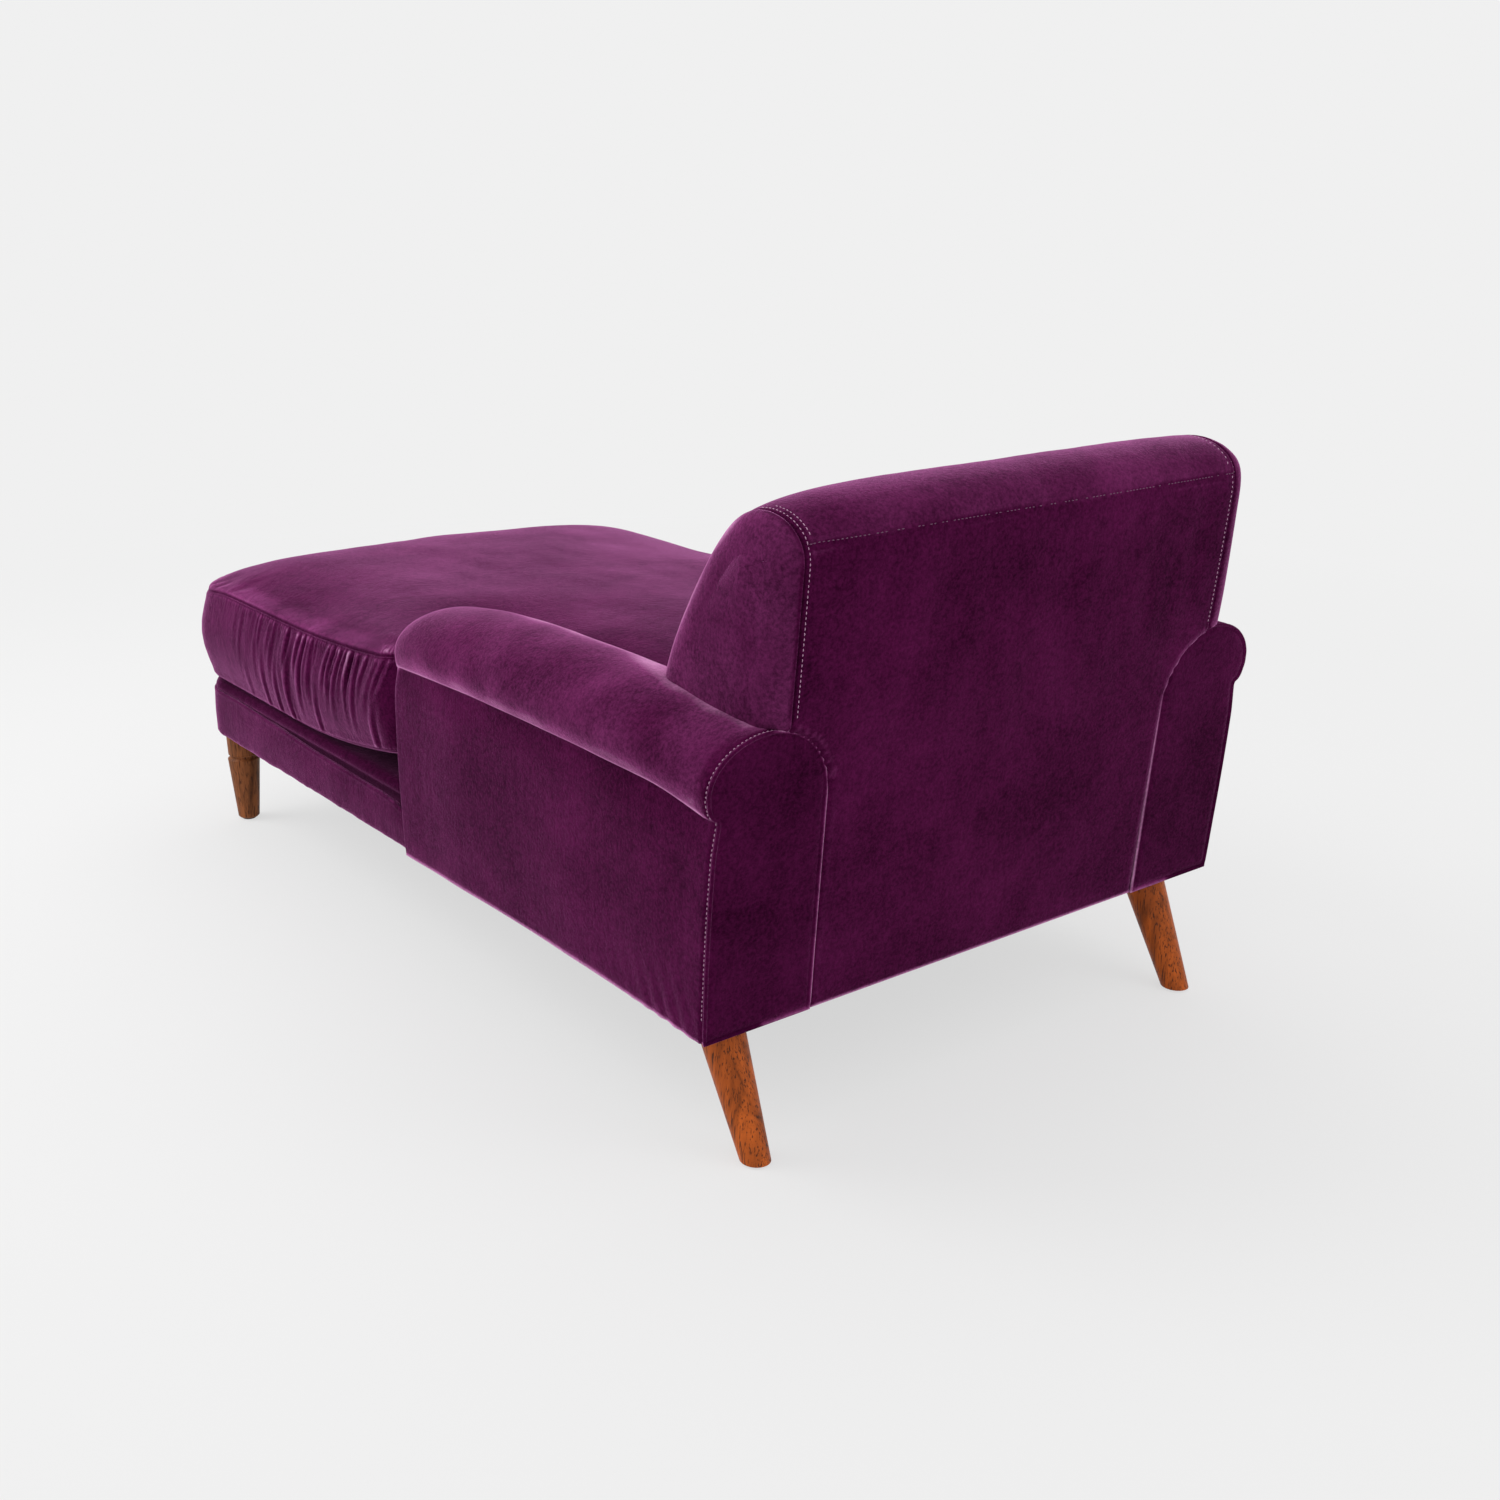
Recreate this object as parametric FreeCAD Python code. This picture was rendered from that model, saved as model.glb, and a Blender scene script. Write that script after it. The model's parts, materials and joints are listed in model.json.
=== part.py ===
import FreeCAD, Part
import math
import os

# Chaise longue in millimetres: +Z up, floor at Z 0, sitter faces -Y, the foot end is at -Y.
# The sitter's left arm is on the +X side. The origin is on the floor under the middle of the piece.

# Driving dimensions of the whole piece
BACK_REACH = 830.0
FOOT_REACH = 830.0
LEG_HEIGHT = 177.0
CLOTH = 3.0

# Rear face, which leans back from its bottom edge
REAR_Y = 755.0
LEAN_DEG = 5.47

# Timber base frame
RAIL_BOTTOM = 182.0
RAIL_TOP = 248.0
RAIL_THICK = 22.0
RAIL_OUTER_X = 434.0
REAR_RAIL_Y = 712.0
FOOT_RAIL_Y = -784.0
CORNER_START_X = 340.0
CORNER_START_Y = -725.0
CROSS_RAIL_TOP = 236.0
CROSS_RAIL_YS = (-400.0, 60.0)
REAR_BLOCK_SIZE = (67.0, 72.0)

# Upholstered base at the foot end
BASE_HALF = 449.0
BASE_FOOT_Y = -820.0
BASE_CORNER = 92.0
BAND_TOP = 257.0
BAND_PADDING = 12.0
REAR_PADDING = 60.0
DECK_TOP = 280.0
DECK_EDGE = 16.0
DECK_CORNERS = (BASE_CORNER, 8.0, 6.0, 8.0)
DUST_COVER = (1.5, 4.0)

# Zigzag springs across the seat
SPRING_Z = 250.2
SPRING_WIRE = 1.8
SPRING_REACH = 405.0
SPRING_PITCH = 45.0
SPRING_LEG = 20.0
SPRING_FIRST_Y = -685.0
SPRING_STEP = 110.0
SPRING_COUNT = 12
CLIP_SIZE = (12.0, 26.0, 6.4)
CLIP_SHEET = 1.0
CLIP_X = SPRING_REACH + 10.0
CLOTH_UNDER_DECK = (256.0, 258.0)
CLOTH_MARGIN = 10.0

# Rolled arms: stations give Y, top height, outward reach of the roll, height of its underside
ARM_INNER = 298.0
ARM_OUTER = 464.0
ARM_CREST = 390.0
ARM_FRONT_Y = 0.0
ARM_STATIONS = (
    (0.0, 542.0, 465.0, 474.0),
    (45.0, 561.0, 475.0, 477.0),
    (150.0, 577.0, 483.0, 482.0),
    (330.0, 584.0, 485.0, 484.0),
    (590.0, 583.0, 485.0, 484.0),
    (690.0, 573.0, 481.0, 480.0),
)
ARM_REAR_STATION = (562.0, 476.0, 462.0)
ARM_PAD = 28.0
ARM_FRAME_TOP = 514.0
ARM_FRAME_ROUND = 48.0
ARM_END_PAD = 20.0
ARM_BOARD = 18.0
ARM_PANEL = 2.0
ARM_PANEL_TOP = 460.0
ARM_TOP_RAIL = (30.0, 22.0)
ARM_RAIL_DROP = 7.0
ARM_INNER_BOTTOM = 262.0

# Backrest: side outline at the gusset seam, as Y and Z
BACK_SEAM_X = 366.0
BACK_CROWN = 18.0
BACK_DOME = 28.0
BACK_DOME_EDGE = 32.0
BACK_STEPS = 5
BACK_REAR_SHARE = 0.35
BACK_HOLLOW = 4.0
BACK_REAR_TOP = (BACK_REACH - 10.0, 742.0)
BACK_TOP_REAR = (806.0, 790.0)
BACK_TOP = (756.0, 808.0)
BACK_TOP_FRONT = (700.0, 790.0)
BACK_FRONT_HIGH = (650.0, 735.0)
BACK_FRONT_MID = (603.0, 661.0)
BACK_FRONT_LOW = (566.0, 580.0)
BACK_SEAT_Y = 560.0
BACK_SEAT_Z = 530.0
BACK_DOME_BOTTOM = 500.0
BACK_CROSS_SEAM = 776.0
BACK_POST = (40.0, 40.0)
BACK_POST_X = 250.0
BACK_FRAME_TOP = 740.0
BACK_RAIL = 60.0
BACK_LOWER_RAIL = 300.0
BACK_FRAME_GAP = 18.0
BACK_TURN_IN = 45.0
STRAP = (45.0, 2.0)
STRAP_FIRST_Z = 390.0
STRAP_STEP_Z = 80.0
STRAP_ROWS = 4
STRAP_STEP_X = 150.0
STRAP_OVERLAP = 5.0

# Loose seat cushion, T-shaped in plan
CUSHION_HALF = 450.0
CUSHION_NECK = 279.0
CUSHION_SHOULDER_Y = -22.0
CUSHION_REAR_Y = 518.0
CUSHION_CORNERS = (96.0, 50.0, 12.0, 40.0)
CUSHION_BOTTOM_SEAM = 288.3
CUSHION_TOP_SEAM = 453.0
CUSHION_UNDER = (22.0, 8.0)
CUSHION_CROWN = (130.0, 45.0)
CUSHION_SWELL = 17.0
CUSHION_FOOT_Y = CUSHION_SWELL - FOOT_REACH
CUSHION_STEPS = 3
CUSHION_GLUE_LINE = CUSHION_SHOULDER_Y + 14.0
ZIP_HALF = 220.0
ZIP_HEIGHT = 14.0
ZIP_Z = 372.0

# Legs
FRONT_LEG = (401.0, -759.0)
REAR_LEG_TOP = (394.0, 685.0)
REAR_LEG_FOOT = (397.0, 771.0)
LEG_FOOT_RADIUS = 19.0
FRONT_LEG_RADIUS = 28.5
REAR_LEG_RADIUS = 32.0
COLLAR_RADIUS = 27.0
GROOVE_RADIUS = 24.5
GROOVE_Z = (120.0, 127.0)
FOOT_ROUNDING = 3.0
GLIDE_RADIUS = 12.0
GLIDE_HEIGHT = 3.0
BOLT_RADIUS = 4.0
BOLT_DOWN = 42.0
BOLT_UP = 40.0
INSERT_RADIUS = 7.0
INSERT_LENGTH = 26.0
INSERT_SETBACK = 4.0
LEG_HOLE_ROOM = 1.5

SIDES = (("left", 1.0), ("right", -1.0))
SIN45 = math.sin(math.radians(45.0))

# Clearance between fitted pieces, a height below every padding, and a length past everything
FIT = 0.2
ARM_GAP = 0.5
INSIDE_LOW = 100.0
FAR = 3000.0


def vec(x, y, z):
    return FreeCAD.Vector(x, y, z)


def block(x0, x1, y0, y1, z0, z1):
    return Part.makeBox(x1 - x0, y1 - y0, z1 - z0, vec(x0, y0, z0))


def mirrored(shape, side):
    """Return the shape made for the +X side, mirrored where the side is -1."""
    if side > 0:
        return shape.copy()
    return shape.mirror(vec(0, 0, 0), vec(1, 0, 0))


def leaned(shape):
    """Tip an upright shape back about the bottom edge of the rear face."""
    tipped = shape.copy()
    tipped.rotate(vec(0, REAR_Y, LEG_HEIGHT), vec(1, 0, 0), -LEAN_DEG)
    return tipped


def rear_slab(near, far, z0=0.0):
    """Leaning slab between two depths measured forward from the rear face."""
    slab = leaned(block(-FAR, FAR, REAR_Y - far, REAR_Y - near, -FAR, FAR))
    return slab.common(block(-FAR, FAR, -FAR, FAR, z0, FAR))


def arc(start, middle, end):
    return Part.Arc(start, middle, end).toShape()


def line(start, end):
    return Part.LineSegment(start, end).toShape()


def rounded_wire(corners, z):
    """Closed wire at height z through (x, y, radius) corners, each with a tangent arc."""
    count = len(corners)
    starts, mids, ends = [], [], []
    for i in range(count):
        x, y, radius = corners[i]
        here = vec(x, y, z)
        back = vec(corners[i - 1][0], corners[i - 1][1], z) - here
        ahead = vec(corners[(i + 1) % count][0], corners[(i + 1) % count][1], z) - here
        back.normalize()
        ahead.normalize()
        half = back.getAngle(ahead) / 2.0
        run = radius / math.tan(half)
        bisector = back + ahead
        bisector.normalize()
        centre = here + bisector * (radius / math.sin(half))
        starts.append(here + back * run)
        mids.append(centre - bisector * radius)
        ends.append(here + ahead * run)
    edges = []
    for i in range(count):
        edges.append(arc(starts[i], mids[i], ends[i]))
        edges.append(line(ends[i], starts[(i + 1) % count]))
    return Part.Wire(edges)


def prism(wire, height):
    return Part.Face(wire).extrude(vec(0, 0, height))


def save(name, solids):
    """Write one sub-part, given as a shape or a list of separate shapes."""
    shapes = solids if isinstance(solids, list) else [solids]
    parts = [solid for shape in shapes for solid in shape.Solids]
    whole = parts[0] if len(parts) == 1 else Part.makeCompound(parts)
    whole.exportStep(os.path.join("parts", name + ".step"))
    print(name, len(parts), "solid(s)", round(whole.Volume / 1000.0, 1), "cm3", whole.isValid())


# Outlines of the base, the deck and the cushion

def tee_wire(half, neck, foot_y, shoulder_y, rear_y, corners, inset, z):
    """T-shaped plan outline, wide in front of the arms and narrow between them."""
    foot_r, shoulder_r, inner_r, rear_r = corners
    smallest = 6.0
    foot_r = max(foot_r - inset, smallest)
    shoulder_r = max(shoulder_r - inset, smallest)
    rear_r = max(rear_r - inset, smallest)
    inner_r = max(inner_r + inset, smallest)
    wide = half - inset
    narrow = neck - inset
    foot = foot_y + inset
    shoulder = shoulder_y - inset
    rear = rear_y - inset
    return rounded_wire([
        (-wide, foot, foot_r), (wide, foot, foot_r), (wide, shoulder, shoulder_r),
        (narrow, shoulder, inner_r), (narrow, rear, rear_r), (-narrow, rear, rear_r),
        (-narrow, shoulder, inner_r), (-wide, shoulder, shoulder_r),
    ], z)


def deck_wire(inset, z):
    """Outline of the sprung deck, which runs back between the arms to under the backrest."""
    neck = ARM_INNER - 2.0
    rear_y = REAR_RAIL_Y - 14.0
    return tee_wire(BASE_HALF, neck, BASE_FOOT_Y, ARM_FRONT_Y - 1.0, rear_y, DECK_CORNERS, inset, z)


def base_wire(inset, z, rear_y):
    """Outline of the foot end of the base, square at the rear."""
    radius = BASE_CORNER - inset
    wide = BASE_HALF - inset
    foot = BASE_FOOT_Y + inset
    return rounded_wire([(-wide, foot, radius), (wide, foot, radius), (wide, rear_y, 1.0),
                         (-wide, rear_y, 1.0)], z)


# Base frame

def make_base_frame():
    inner_x = RAIL_OUTER_X - RAIL_THICK
    rear_outer = REAR_RAIL_Y + RAIL_THICK
    for name, side in SIDES:
        rail = block(inner_x, RAIL_OUTER_X, CORNER_START_Y, REAR_RAIL_Y, RAIL_BOTTOM, RAIL_TOP)
        save("base_rail_" + name, mirrored(rail, side))
    foot_outer = BASE_FOOT_Y + CLOTH + BAND_PADDING
    save("base_rail_foot", block(-CORNER_START_X, CORNER_START_X, foot_outer, FOOT_RAIL_Y,
                                 RAIL_BOTTOM, RAIL_TOP))
    save("base_rail_rear", block(-RAIL_OUTER_X, RAIL_OUTER_X, REAR_RAIL_Y, rear_outer,
                                 RAIL_BOTTOM, RAIL_TOP))
    cross = [block(-inner_x, inner_x, y, y + RAIL_THICK, RAIL_BOTTOM, CROSS_RAIL_TOP)
             for y in CROSS_RAIL_YS]
    save("base_cross_rails", cross)


def corner_blocks():
    """Blocks that carry the legs: front ones follow the rounded corner, rear ones are square."""
    inside = prism(base_wire(CLOTH + BAND_PADDING, RAIL_BOTTOM, 0.0), RAIL_TOP - RAIL_BOTTOM)
    front = inside.common(block(CORNER_START_X, RAIL_OUTER_X, BASE_FOOT_Y, CORNER_START_Y,
                                RAIL_BOTTOM, RAIL_TOP))
    inner_x = RAIL_OUTER_X - RAIL_THICK
    wide, deep = REAR_BLOCK_SIZE
    rear = block(inner_x - wide, inner_x, REAR_RAIL_Y - deep, REAR_RAIL_Y, RAIL_BOTTOM, RAIL_TOP)
    return front, rear


# Legs and their fixings

def rake_axis():
    """Point at rail height and unit direction of the raked rear leg on the +X side."""
    foot = vec(REAR_LEG_FOOT[0], REAR_LEG_FOOT[1], 0.0)
    top = vec(REAR_LEG_TOP[0], REAR_LEG_TOP[1], LEG_HEIGHT)
    direction = top - foot
    direction.normalize()
    at_rail = foot + direction * (RAIL_BOTTOM / direction.z)
    return at_rail, direction


def front_leg():
    """Turned leg: straight taper, narrow groove and collar under the base."""
    groove_low, groove_high = GROOVE_Z
    bead = 2.0
    points = [
        (0.0, GLIDE_HEIGHT), (LEG_FOOT_RADIUS - FOOT_ROUNDING, GLIDE_HEIGHT),
        (LEG_FOOT_RADIUS, GLIDE_HEIGHT + FOOT_ROUNDING),
        (FRONT_LEG_RADIUS, groove_low - bead), (FRONT_LEG_RADIUS - bead, groove_low),
        (GROOVE_RADIUS, groove_low + bead), (GROOVE_RADIUS, groove_high - bead),
        (COLLAR_RADIUS, groove_high), (FRONT_LEG_RADIUS, RAIL_BOTTOM), (0.0, RAIL_BOTTOM),
    ]
    x, y = FRONT_LEG
    outline = Part.makePolygon([vec(x + r, y, z) for r, z in points + points[:1]])
    return Part.Face(outline).revolve(vec(x, y, 0), vec(0, 0, 1), 360)


def rear_leg(grow=0.0):
    """Round tapered leg raked backwards, cut level at the glide and under the rail."""
    at_rail, direction = rake_axis()
    length = RAIL_BOTTOM / direction.z
    extra = 40.0
    slope = (REAR_LEG_RADIUS - LEG_FOOT_RADIUS) / length
    start = at_rail - direction * (length + extra)
    low_radius = LEG_FOOT_RADIUS - slope * extra + grow
    high_radius = REAR_LEG_RADIUS + slope * extra + grow
    cone = Part.makeCone(low_radius, high_radius, length + 2.0 * extra, start, direction)
    return cone.common(block(-FAR, FAR, -FAR, FAR, GLIDE_HEIGHT, RAIL_BOTTOM))


def fixing_axes():
    """Axis of each fixing on the +X side: the front leg's is upright, the rear leg's is raked."""
    upright = (vec(FRONT_LEG[0], FRONT_LEG[1], RAIL_BOTTOM), vec(0, 0, 1))
    return upright, rake_axis()


def glide(x, y):
    return Part.makeCylinder(GLIDE_RADIUS, GLIDE_HEIGHT, vec(x, y, 0.0))


def make_legs():
    bolts, inserts, holes = [], [], []
    for point, direction in fixing_axes():
        bolt = Part.makeCylinder(BOLT_RADIUS, BOLT_DOWN + BOLT_UP, point - direction * BOLT_DOWN,
                                 direction)
        sleeve = Part.makeCylinder(INSERT_RADIUS, INSERT_LENGTH,
                                   point + direction * INSERT_SETBACK, direction)
        bolts.append(bolt)
        inserts.append(sleeve.cut(bolt))
        holes.append(bolt.fuse(sleeve))
    front, rear = front_leg().cut(bolts[0]), rear_leg().cut(bolts[1])
    front_block, rear_block = corner_blocks()
    front_block = front_block.cut(holes[0])
    rear_block = rear_block.cut(holes[1])
    for name, side in SIDES:
        save("front_leg_" + name, mirrored(front, side))
        save("rear_leg_" + name, mirrored(rear, side))
    for name, shapes in (("leg_bolts", bolts), ("leg_inserts", inserts),
                         ("corner_blocks_foot", [front_block]),
                         ("corner_blocks_rear", [rear_block])):
        save(name, [mirrored(shape, side) for shape in shapes for _, side in SIDES])
    places = (FRONT_LEG, REAR_LEG_FOOT)
    save("leg_glides", [mirrored(glide(x, y), side) for x, y in places for _, side in SIDES])


# Springs, deck and base upholstery

def zigzag_spring(y):
    """One zigzag spring across the seat: straight legs joined by half circles."""
    edges = []
    count = int(round(2.0 * SPRING_REACH / SPRING_PITCH))
    turn = SPRING_PITCH / 2.0
    for i in range(count + 1):
        x = -SPRING_REACH + i * SPRING_PITCH
        way = 1.0 if i % 2 == 0 else -1.0
        start = vec(x, y - way * SPRING_LEG, SPRING_Z)
        end = vec(x, y + way * SPRING_LEG, SPRING_Z)
        edges.append(line(start, end))
        if i < count:
            top = vec(x + turn, y + way * (SPRING_LEG + turn), SPRING_Z)
            edges.append(arc(end, top, vec(x + SPRING_PITCH, end.y, SPRING_Z)))
    path = Part.Wire(edges)
    ring = Part.Wire(Part.makeCircle(SPRING_WIRE, vec(-SPRING_REACH, y - SPRING_LEG, SPRING_Z),
                                     vec(0, 1, 0)))
    return path.makePipeShell([ring], True, False)


def spring_clip(x, y):
    """Bent steel clip that holds the last leg of a spring on a side rail."""
    wide, deep, high = CLIP_SIZE
    top = RAIL_TOP + high
    end = x + wide / 2.0
    body = block(end - wide, end, y - deep / 2.0, y + deep / 2.0, RAIL_TOP, top)
    tunnel = block(-FAR, end - CLIP_SHEET, -FAR, FAR, 0.0, top - CLIP_SHEET)
    return body.cut(tunnel)


def make_springs():
    ys = [SPRING_FIRST_Y + i * SPRING_STEP for i in range(SPRING_COUNT)]
    master = zigzag_spring(0.0)
    save("zigzag_springs", [master.translated(vec(0, y, 0)) for y in ys])
    clip = spring_clip(CLIP_X, 0.0)
    clips = [mirrored(clip.translated(vec(0, y, 0)), side) for y in ys for _, side in SIDES]
    save("spring_clips", clips)
    low, high = CLOTH_UNDER_DECK
    save("spring_cover_cloth", prism(deck_wire(CLOTH_MARGIN, low), high - low))


def level_edges(shape, z, y_limit):
    """Edges that lie at height z and start in front of y_limit."""
    found = []
    for edge in shape.Edges:
        box = edge.BoundBox
        if abs(box.ZMin - z) < 0.01 and abs(box.ZMax - z) < 0.01 and box.YMin < y_limit:
            found.append(edge)
    return found


def make_deck():
    low = CLOTH_UNDER_DECK[1] + 0.5
    pad = prism(deck_wire(CLOTH, low), DECK_TOP - CLOTH - low)
    skin = prism(deck_wire(0.0, low), DECK_TOP - low)
    before_arms = ARM_FRONT_Y - 2.0 * DECK_EDGE
    pad = pad.makeFillet(DECK_EDGE - CLOTH, level_edges(pad, DECK_TOP - CLOTH, before_arms))
    skin = skin.makeFillet(DECK_EDGE, level_edges(skin, DECK_TOP, before_arms))
    save("deck_pad", pad)
    save("deck_cover", skin.cut(pad))


def make_base_upholstery():
    rear = ARM_FRONT_Y - 1.0
    outer = prism(base_wire(0.0, LEG_HEIGHT, rear), BAND_TOP - LEG_HEIGHT)
    middle = prism(base_wire(CLOTH, 0.0, FAR), FAR)
    inner = prism(base_wire(CLOTH + BAND_PADDING, 0.0, FAR), FAR)
    save("base_band_cover", outer.cut(middle))
    layer = prism(base_wire(CLOTH, RAIL_BOTTOM, rear), BAND_TOP - 1.0 - RAIL_BOTTOM)
    save("base_band_padding", layer.cut(inner))
    half = ARM_INNER - 4.0
    rear_strip = rear_slab(CLOTH + FIT, CLOTH + REAR_PADDING)
    rear_strip = rear_strip.common(block(-half, half, REAR_RAIL_Y + RAIL_THICK, FAR,
                                         RAIL_BOTTOM, RAIL_TOP))
    save("rear_rail_padding", rear_strip)


def make_dust_cover():
    thick, margin = DUST_COVER
    low = LEG_HEIGHT + thick
    foot = prism(base_wire(margin, low, REAR_Y - margin), thick)
    seat = block(-ARM_OUTER + margin, ARM_OUTER - margin, ARM_FRONT_Y + margin, REAR_Y - margin,
                 low, low + thick)
    sheet = foot.fuse(seat).removeSplitter()
    x, y = FRONT_LEG
    hole = Part.makeCylinder(FRONT_LEG_RADIUS + LEG_HOLE_ROOM, FAR, vec(x, y, 0.0))
    for _, side in SIDES:
        sheet = sheet.cut(mirrored(hole, side)).cut(mirrored(rear_leg(LEG_HOLE_ROOM), side))
    save("dust_cover", sheet)


# Arms

def arm_wire(y, top, reach, neck, inset, z0):
    """Upright section of the +X arm: flat inner side, rolled top that overhangs, flat outer side."""
    inner = ARM_INNER + inset
    outer = ARM_OUTER - inset
    shoulder = neck + 6.0
    crown = top - inset
    edge = reach - inset
    widest = neck + 0.34 * (top - neck)
    under = min(neck + inset, widest - 4.0)
    a_in, b_in = ARM_CREST - inner, crown - shoulder
    a_out, b_out = edge - ARM_CREST, crown - widest
    a_low, b_low = edge - outer, widest - under

    def at(x, z):
        return vec(x, y, z)

    edges = [
        line(at(inner, z0), at(inner, shoulder)),
        arc(at(inner, shoulder), at(ARM_CREST - a_in * SIN45, shoulder + b_in * SIN45),
            at(ARM_CREST, crown)),
        arc(at(ARM_CREST, crown), at(ARM_CREST + a_out * SIN45, widest + b_out * SIN45),
            at(edge, widest)),
        arc(at(edge, widest), at(outer + a_low * SIN45, widest - b_low * SIN45), at(outer, under)),
        line(at(outer, under), at(outer, z0)),
        line(at(outer, z0), at(inner, z0)),
    ]
    return Part.Wire(edges)


def arm_body(inset, z0):
    """Solid of the +X arm drawn in by inset, from its front end to the leaning rear face."""
    wires = [arm_wire(y, top, reach, neck, inset, z0) for y, top, reach, neck in ARM_STATIONS]
    top, reach, neck = ARM_REAR_STATION
    wires.append(leaned(arm_wire(REAR_Y, top, reach, neck, inset, z0)))
    return Part.makeLoft(wires, True, False)


def arm_frame_space(shrink):
    """Room inside the padding for the arm's timber frame: upright sides and a rounded top."""
    low, high = INSIDE_LOW, ARM_FRAME_TOP - shrink
    left = ARM_INNER + ARM_PAD + shrink
    right = ARM_OUTER - ARM_PAD - shrink
    bend = ARM_FRAME_ROUND
    corner = bend * (1.0 - SIN45)
    edges = [
        line(vec(left, 0, low), vec(left, 0, high - bend)),
        arc(vec(left, 0, high - bend), vec(left + corner, 0, high - corner),
            vec(left + bend, 0, high)),
        line(vec(left + bend, 0, high), vec(right - bend, 0, high)),
        arc(vec(right - bend, 0, high), vec(right - corner, 0, high - corner),
            vec(right, 0, high - bend)),
        line(vec(right, 0, high - bend), vec(right, 0, low)),
        line(vec(right, 0, low), vec(left, 0, low)),
    ]
    return Part.Face(Part.Wire(edges)).extrude(vec(0, FAR, 0))


def arm_shadow():
    """The +X arm's rear outline carried through the rear face, to trim what passes behind it."""
    top, reach, neck = ARM_REAR_STATION
    depth = 60.0
    wire = arm_wire(REAR_Y - depth, top, reach, neck, -ARM_GAP, INSIDE_LOW)
    return leaned(Part.Face(wire).extrude(vec(0, 2.0 * depth, 0)))


def along_arm(front, rear):
    """Space between a distance behind the front end and a distance before the rear face."""
    return rear_slab(rear, FAR).common(block(-FAR, FAR, ARM_FRONT_Y + front, FAR, 0.0, FAR))


def make_arms():
    full = arm_body(0.0, LEG_HEIGHT)
    stuffing = arm_body(CLOTH, INSIDE_LOW)
    hollow = arm_frame_space(0.0)
    snug = arm_frame_space(FIT)
    below_deck = block(0.0, ARM_OUTER - ARM_PAD - 10.0, -FAR, FAR, 0.0, ARM_INNER_BOTTOM)
    above_rail = block(-FAR, FAR, -FAR, FAR, RAIL_TOP, FAR)
    between = along_arm(CLOTH, CLOTH)
    board_in = ARM_END_PAD + ARM_BOARD

    cover = full.cut(stuffing).common(between).cut(below_deck)
    pad = stuffing.common(between).cut(hollow.common(along_arm(ARM_END_PAD, ARM_END_PAD)))
    pad = pad.cut(below_deck).common(block(-FAR, FAR, -FAR, FAR, RAIL_BOTTOM, FAR))
    pad = pad.cut(block(0.0, RAIL_OUTER_X + FIT, -FAR, FAR, 0.0, RAIL_TOP + FIT))
    front_facing = full.common(block(-FAR, FAR, ARM_FRONT_Y, ARM_FRONT_Y + CLOTH, 0.0, FAR))
    front_facing = front_facing.cut(block(0.0, BASE_HALF + 1.0, -FAR, FAR, 0.0, DECK_TOP))
    rear_facing = full.common(rear_slab(-1.0, CLOTH))
    front_board = snug.common(along_arm(ARM_END_PAD + FIT, board_in)).common(above_rail)
    front_board = front_board.cut(along_arm(board_in, 0.0))
    rear_board = snug.common(rear_slab(ARM_END_PAD + FIT, board_in)).common(above_rail)

    y0 = ARM_FRONT_Y + board_in + FIT
    span = rear_slab(board_in + FIT, FAR)
    rail_half, rail_thick = ARM_TOP_RAIL
    middle_x = (ARM_INNER + ARM_OUTER) / 2.0
    rail_top = ARM_FRAME_TOP - ARM_RAIL_DROP
    top_rail = block(middle_x - rail_half, middle_x + rail_half, y0, FAR,
                     rail_top - rail_thick, rail_top).common(span)
    outer_x = ARM_OUTER - ARM_PAD
    outer_panel = block(outer_x - ARM_PANEL, outer_x - FIT, y0, FAR, RAIL_TOP + 1.0,
                        ARM_PANEL_TOP).common(span)
    inner_x = ARM_INNER + ARM_PAD
    inner_panel = block(inner_x + FIT, inner_x + ARM_PANEL, y0, FAR, ARM_INNER_BOTTOM,
                        ARM_PANEL_TOP).common(span)
    pieces = (
        ("arm_cover_", cover), ("arm_pad_", pad), ("arm_front_facing_", front_facing),
        ("arm_rear_facing_", rear_facing), ("arm_front_board_", front_board),
        ("arm_rear_board_", rear_board), ("arm_top_rail_", top_rail),
        ("arm_outer_panel_", outer_panel), ("arm_inner_panel_", inner_panel),
    )
    for name, side in SIDES:
        for label, shape in pieces:
            save(label + name, mirrored(shape, side))


# Backrest

def back_wire(x, grow, inset, z0):
    """Side outline of the backrest at one X: grown about its gusset seam, then drawn in."""
    rear_share = 1.0 if grow < 0 else BACK_REAR_SHARE

    def moved(point, dy, dz, share=1.0):
        outward = vec(0.0, dy, dz)
        shifted = vec(x, point[0], point[1]) + outward * (grow * share)
        outward.normalize()
        return shifted - outward * inset

    low_y = REAR_Y + math.tan(math.radians(LEAN_DEG)) * (z0 - LEG_HEIGHT)
    low_rear = vec(x, low_y + min(grow, 0.0) - inset, z0)
    high_rear = moved(BACK_REAR_TOP, 1.0, 0.0, rear_share)
    waist = vec(x, (low_rear.y + high_rear.y) / 2.0 - BACK_HOLLOW, (low_rear.z + high_rear.z) / 2.0)
    crest = moved(BACK_TOP, 0.0, 1.0)
    front_high = moved(BACK_FRONT_HIGH, -0.8, 0.6)
    front_low = moved(BACK_FRONT_LOW, -1.0, 0.0)
    seat_y = BACK_SEAT_Y - grow + inset
    edges = [
        arc(low_rear, waist, high_rear),
        arc(high_rear, moved(BACK_TOP_REAR, 0.7, 0.7, 0.7), crest),
        arc(crest, moved(BACK_TOP_FRONT, -0.5, 0.9), front_high),
        arc(front_high, moved(BACK_FRONT_MID, -0.9, 0.4), front_low),
        line(front_low, vec(x, seat_y, BACK_SEAT_Z)),
        line(vec(x, seat_y, BACK_SEAT_Z), vec(x, seat_y, z0)),
        line(vec(x, seat_y, z0), low_rear),
    ]
    return Part.Wire(edges)


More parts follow.
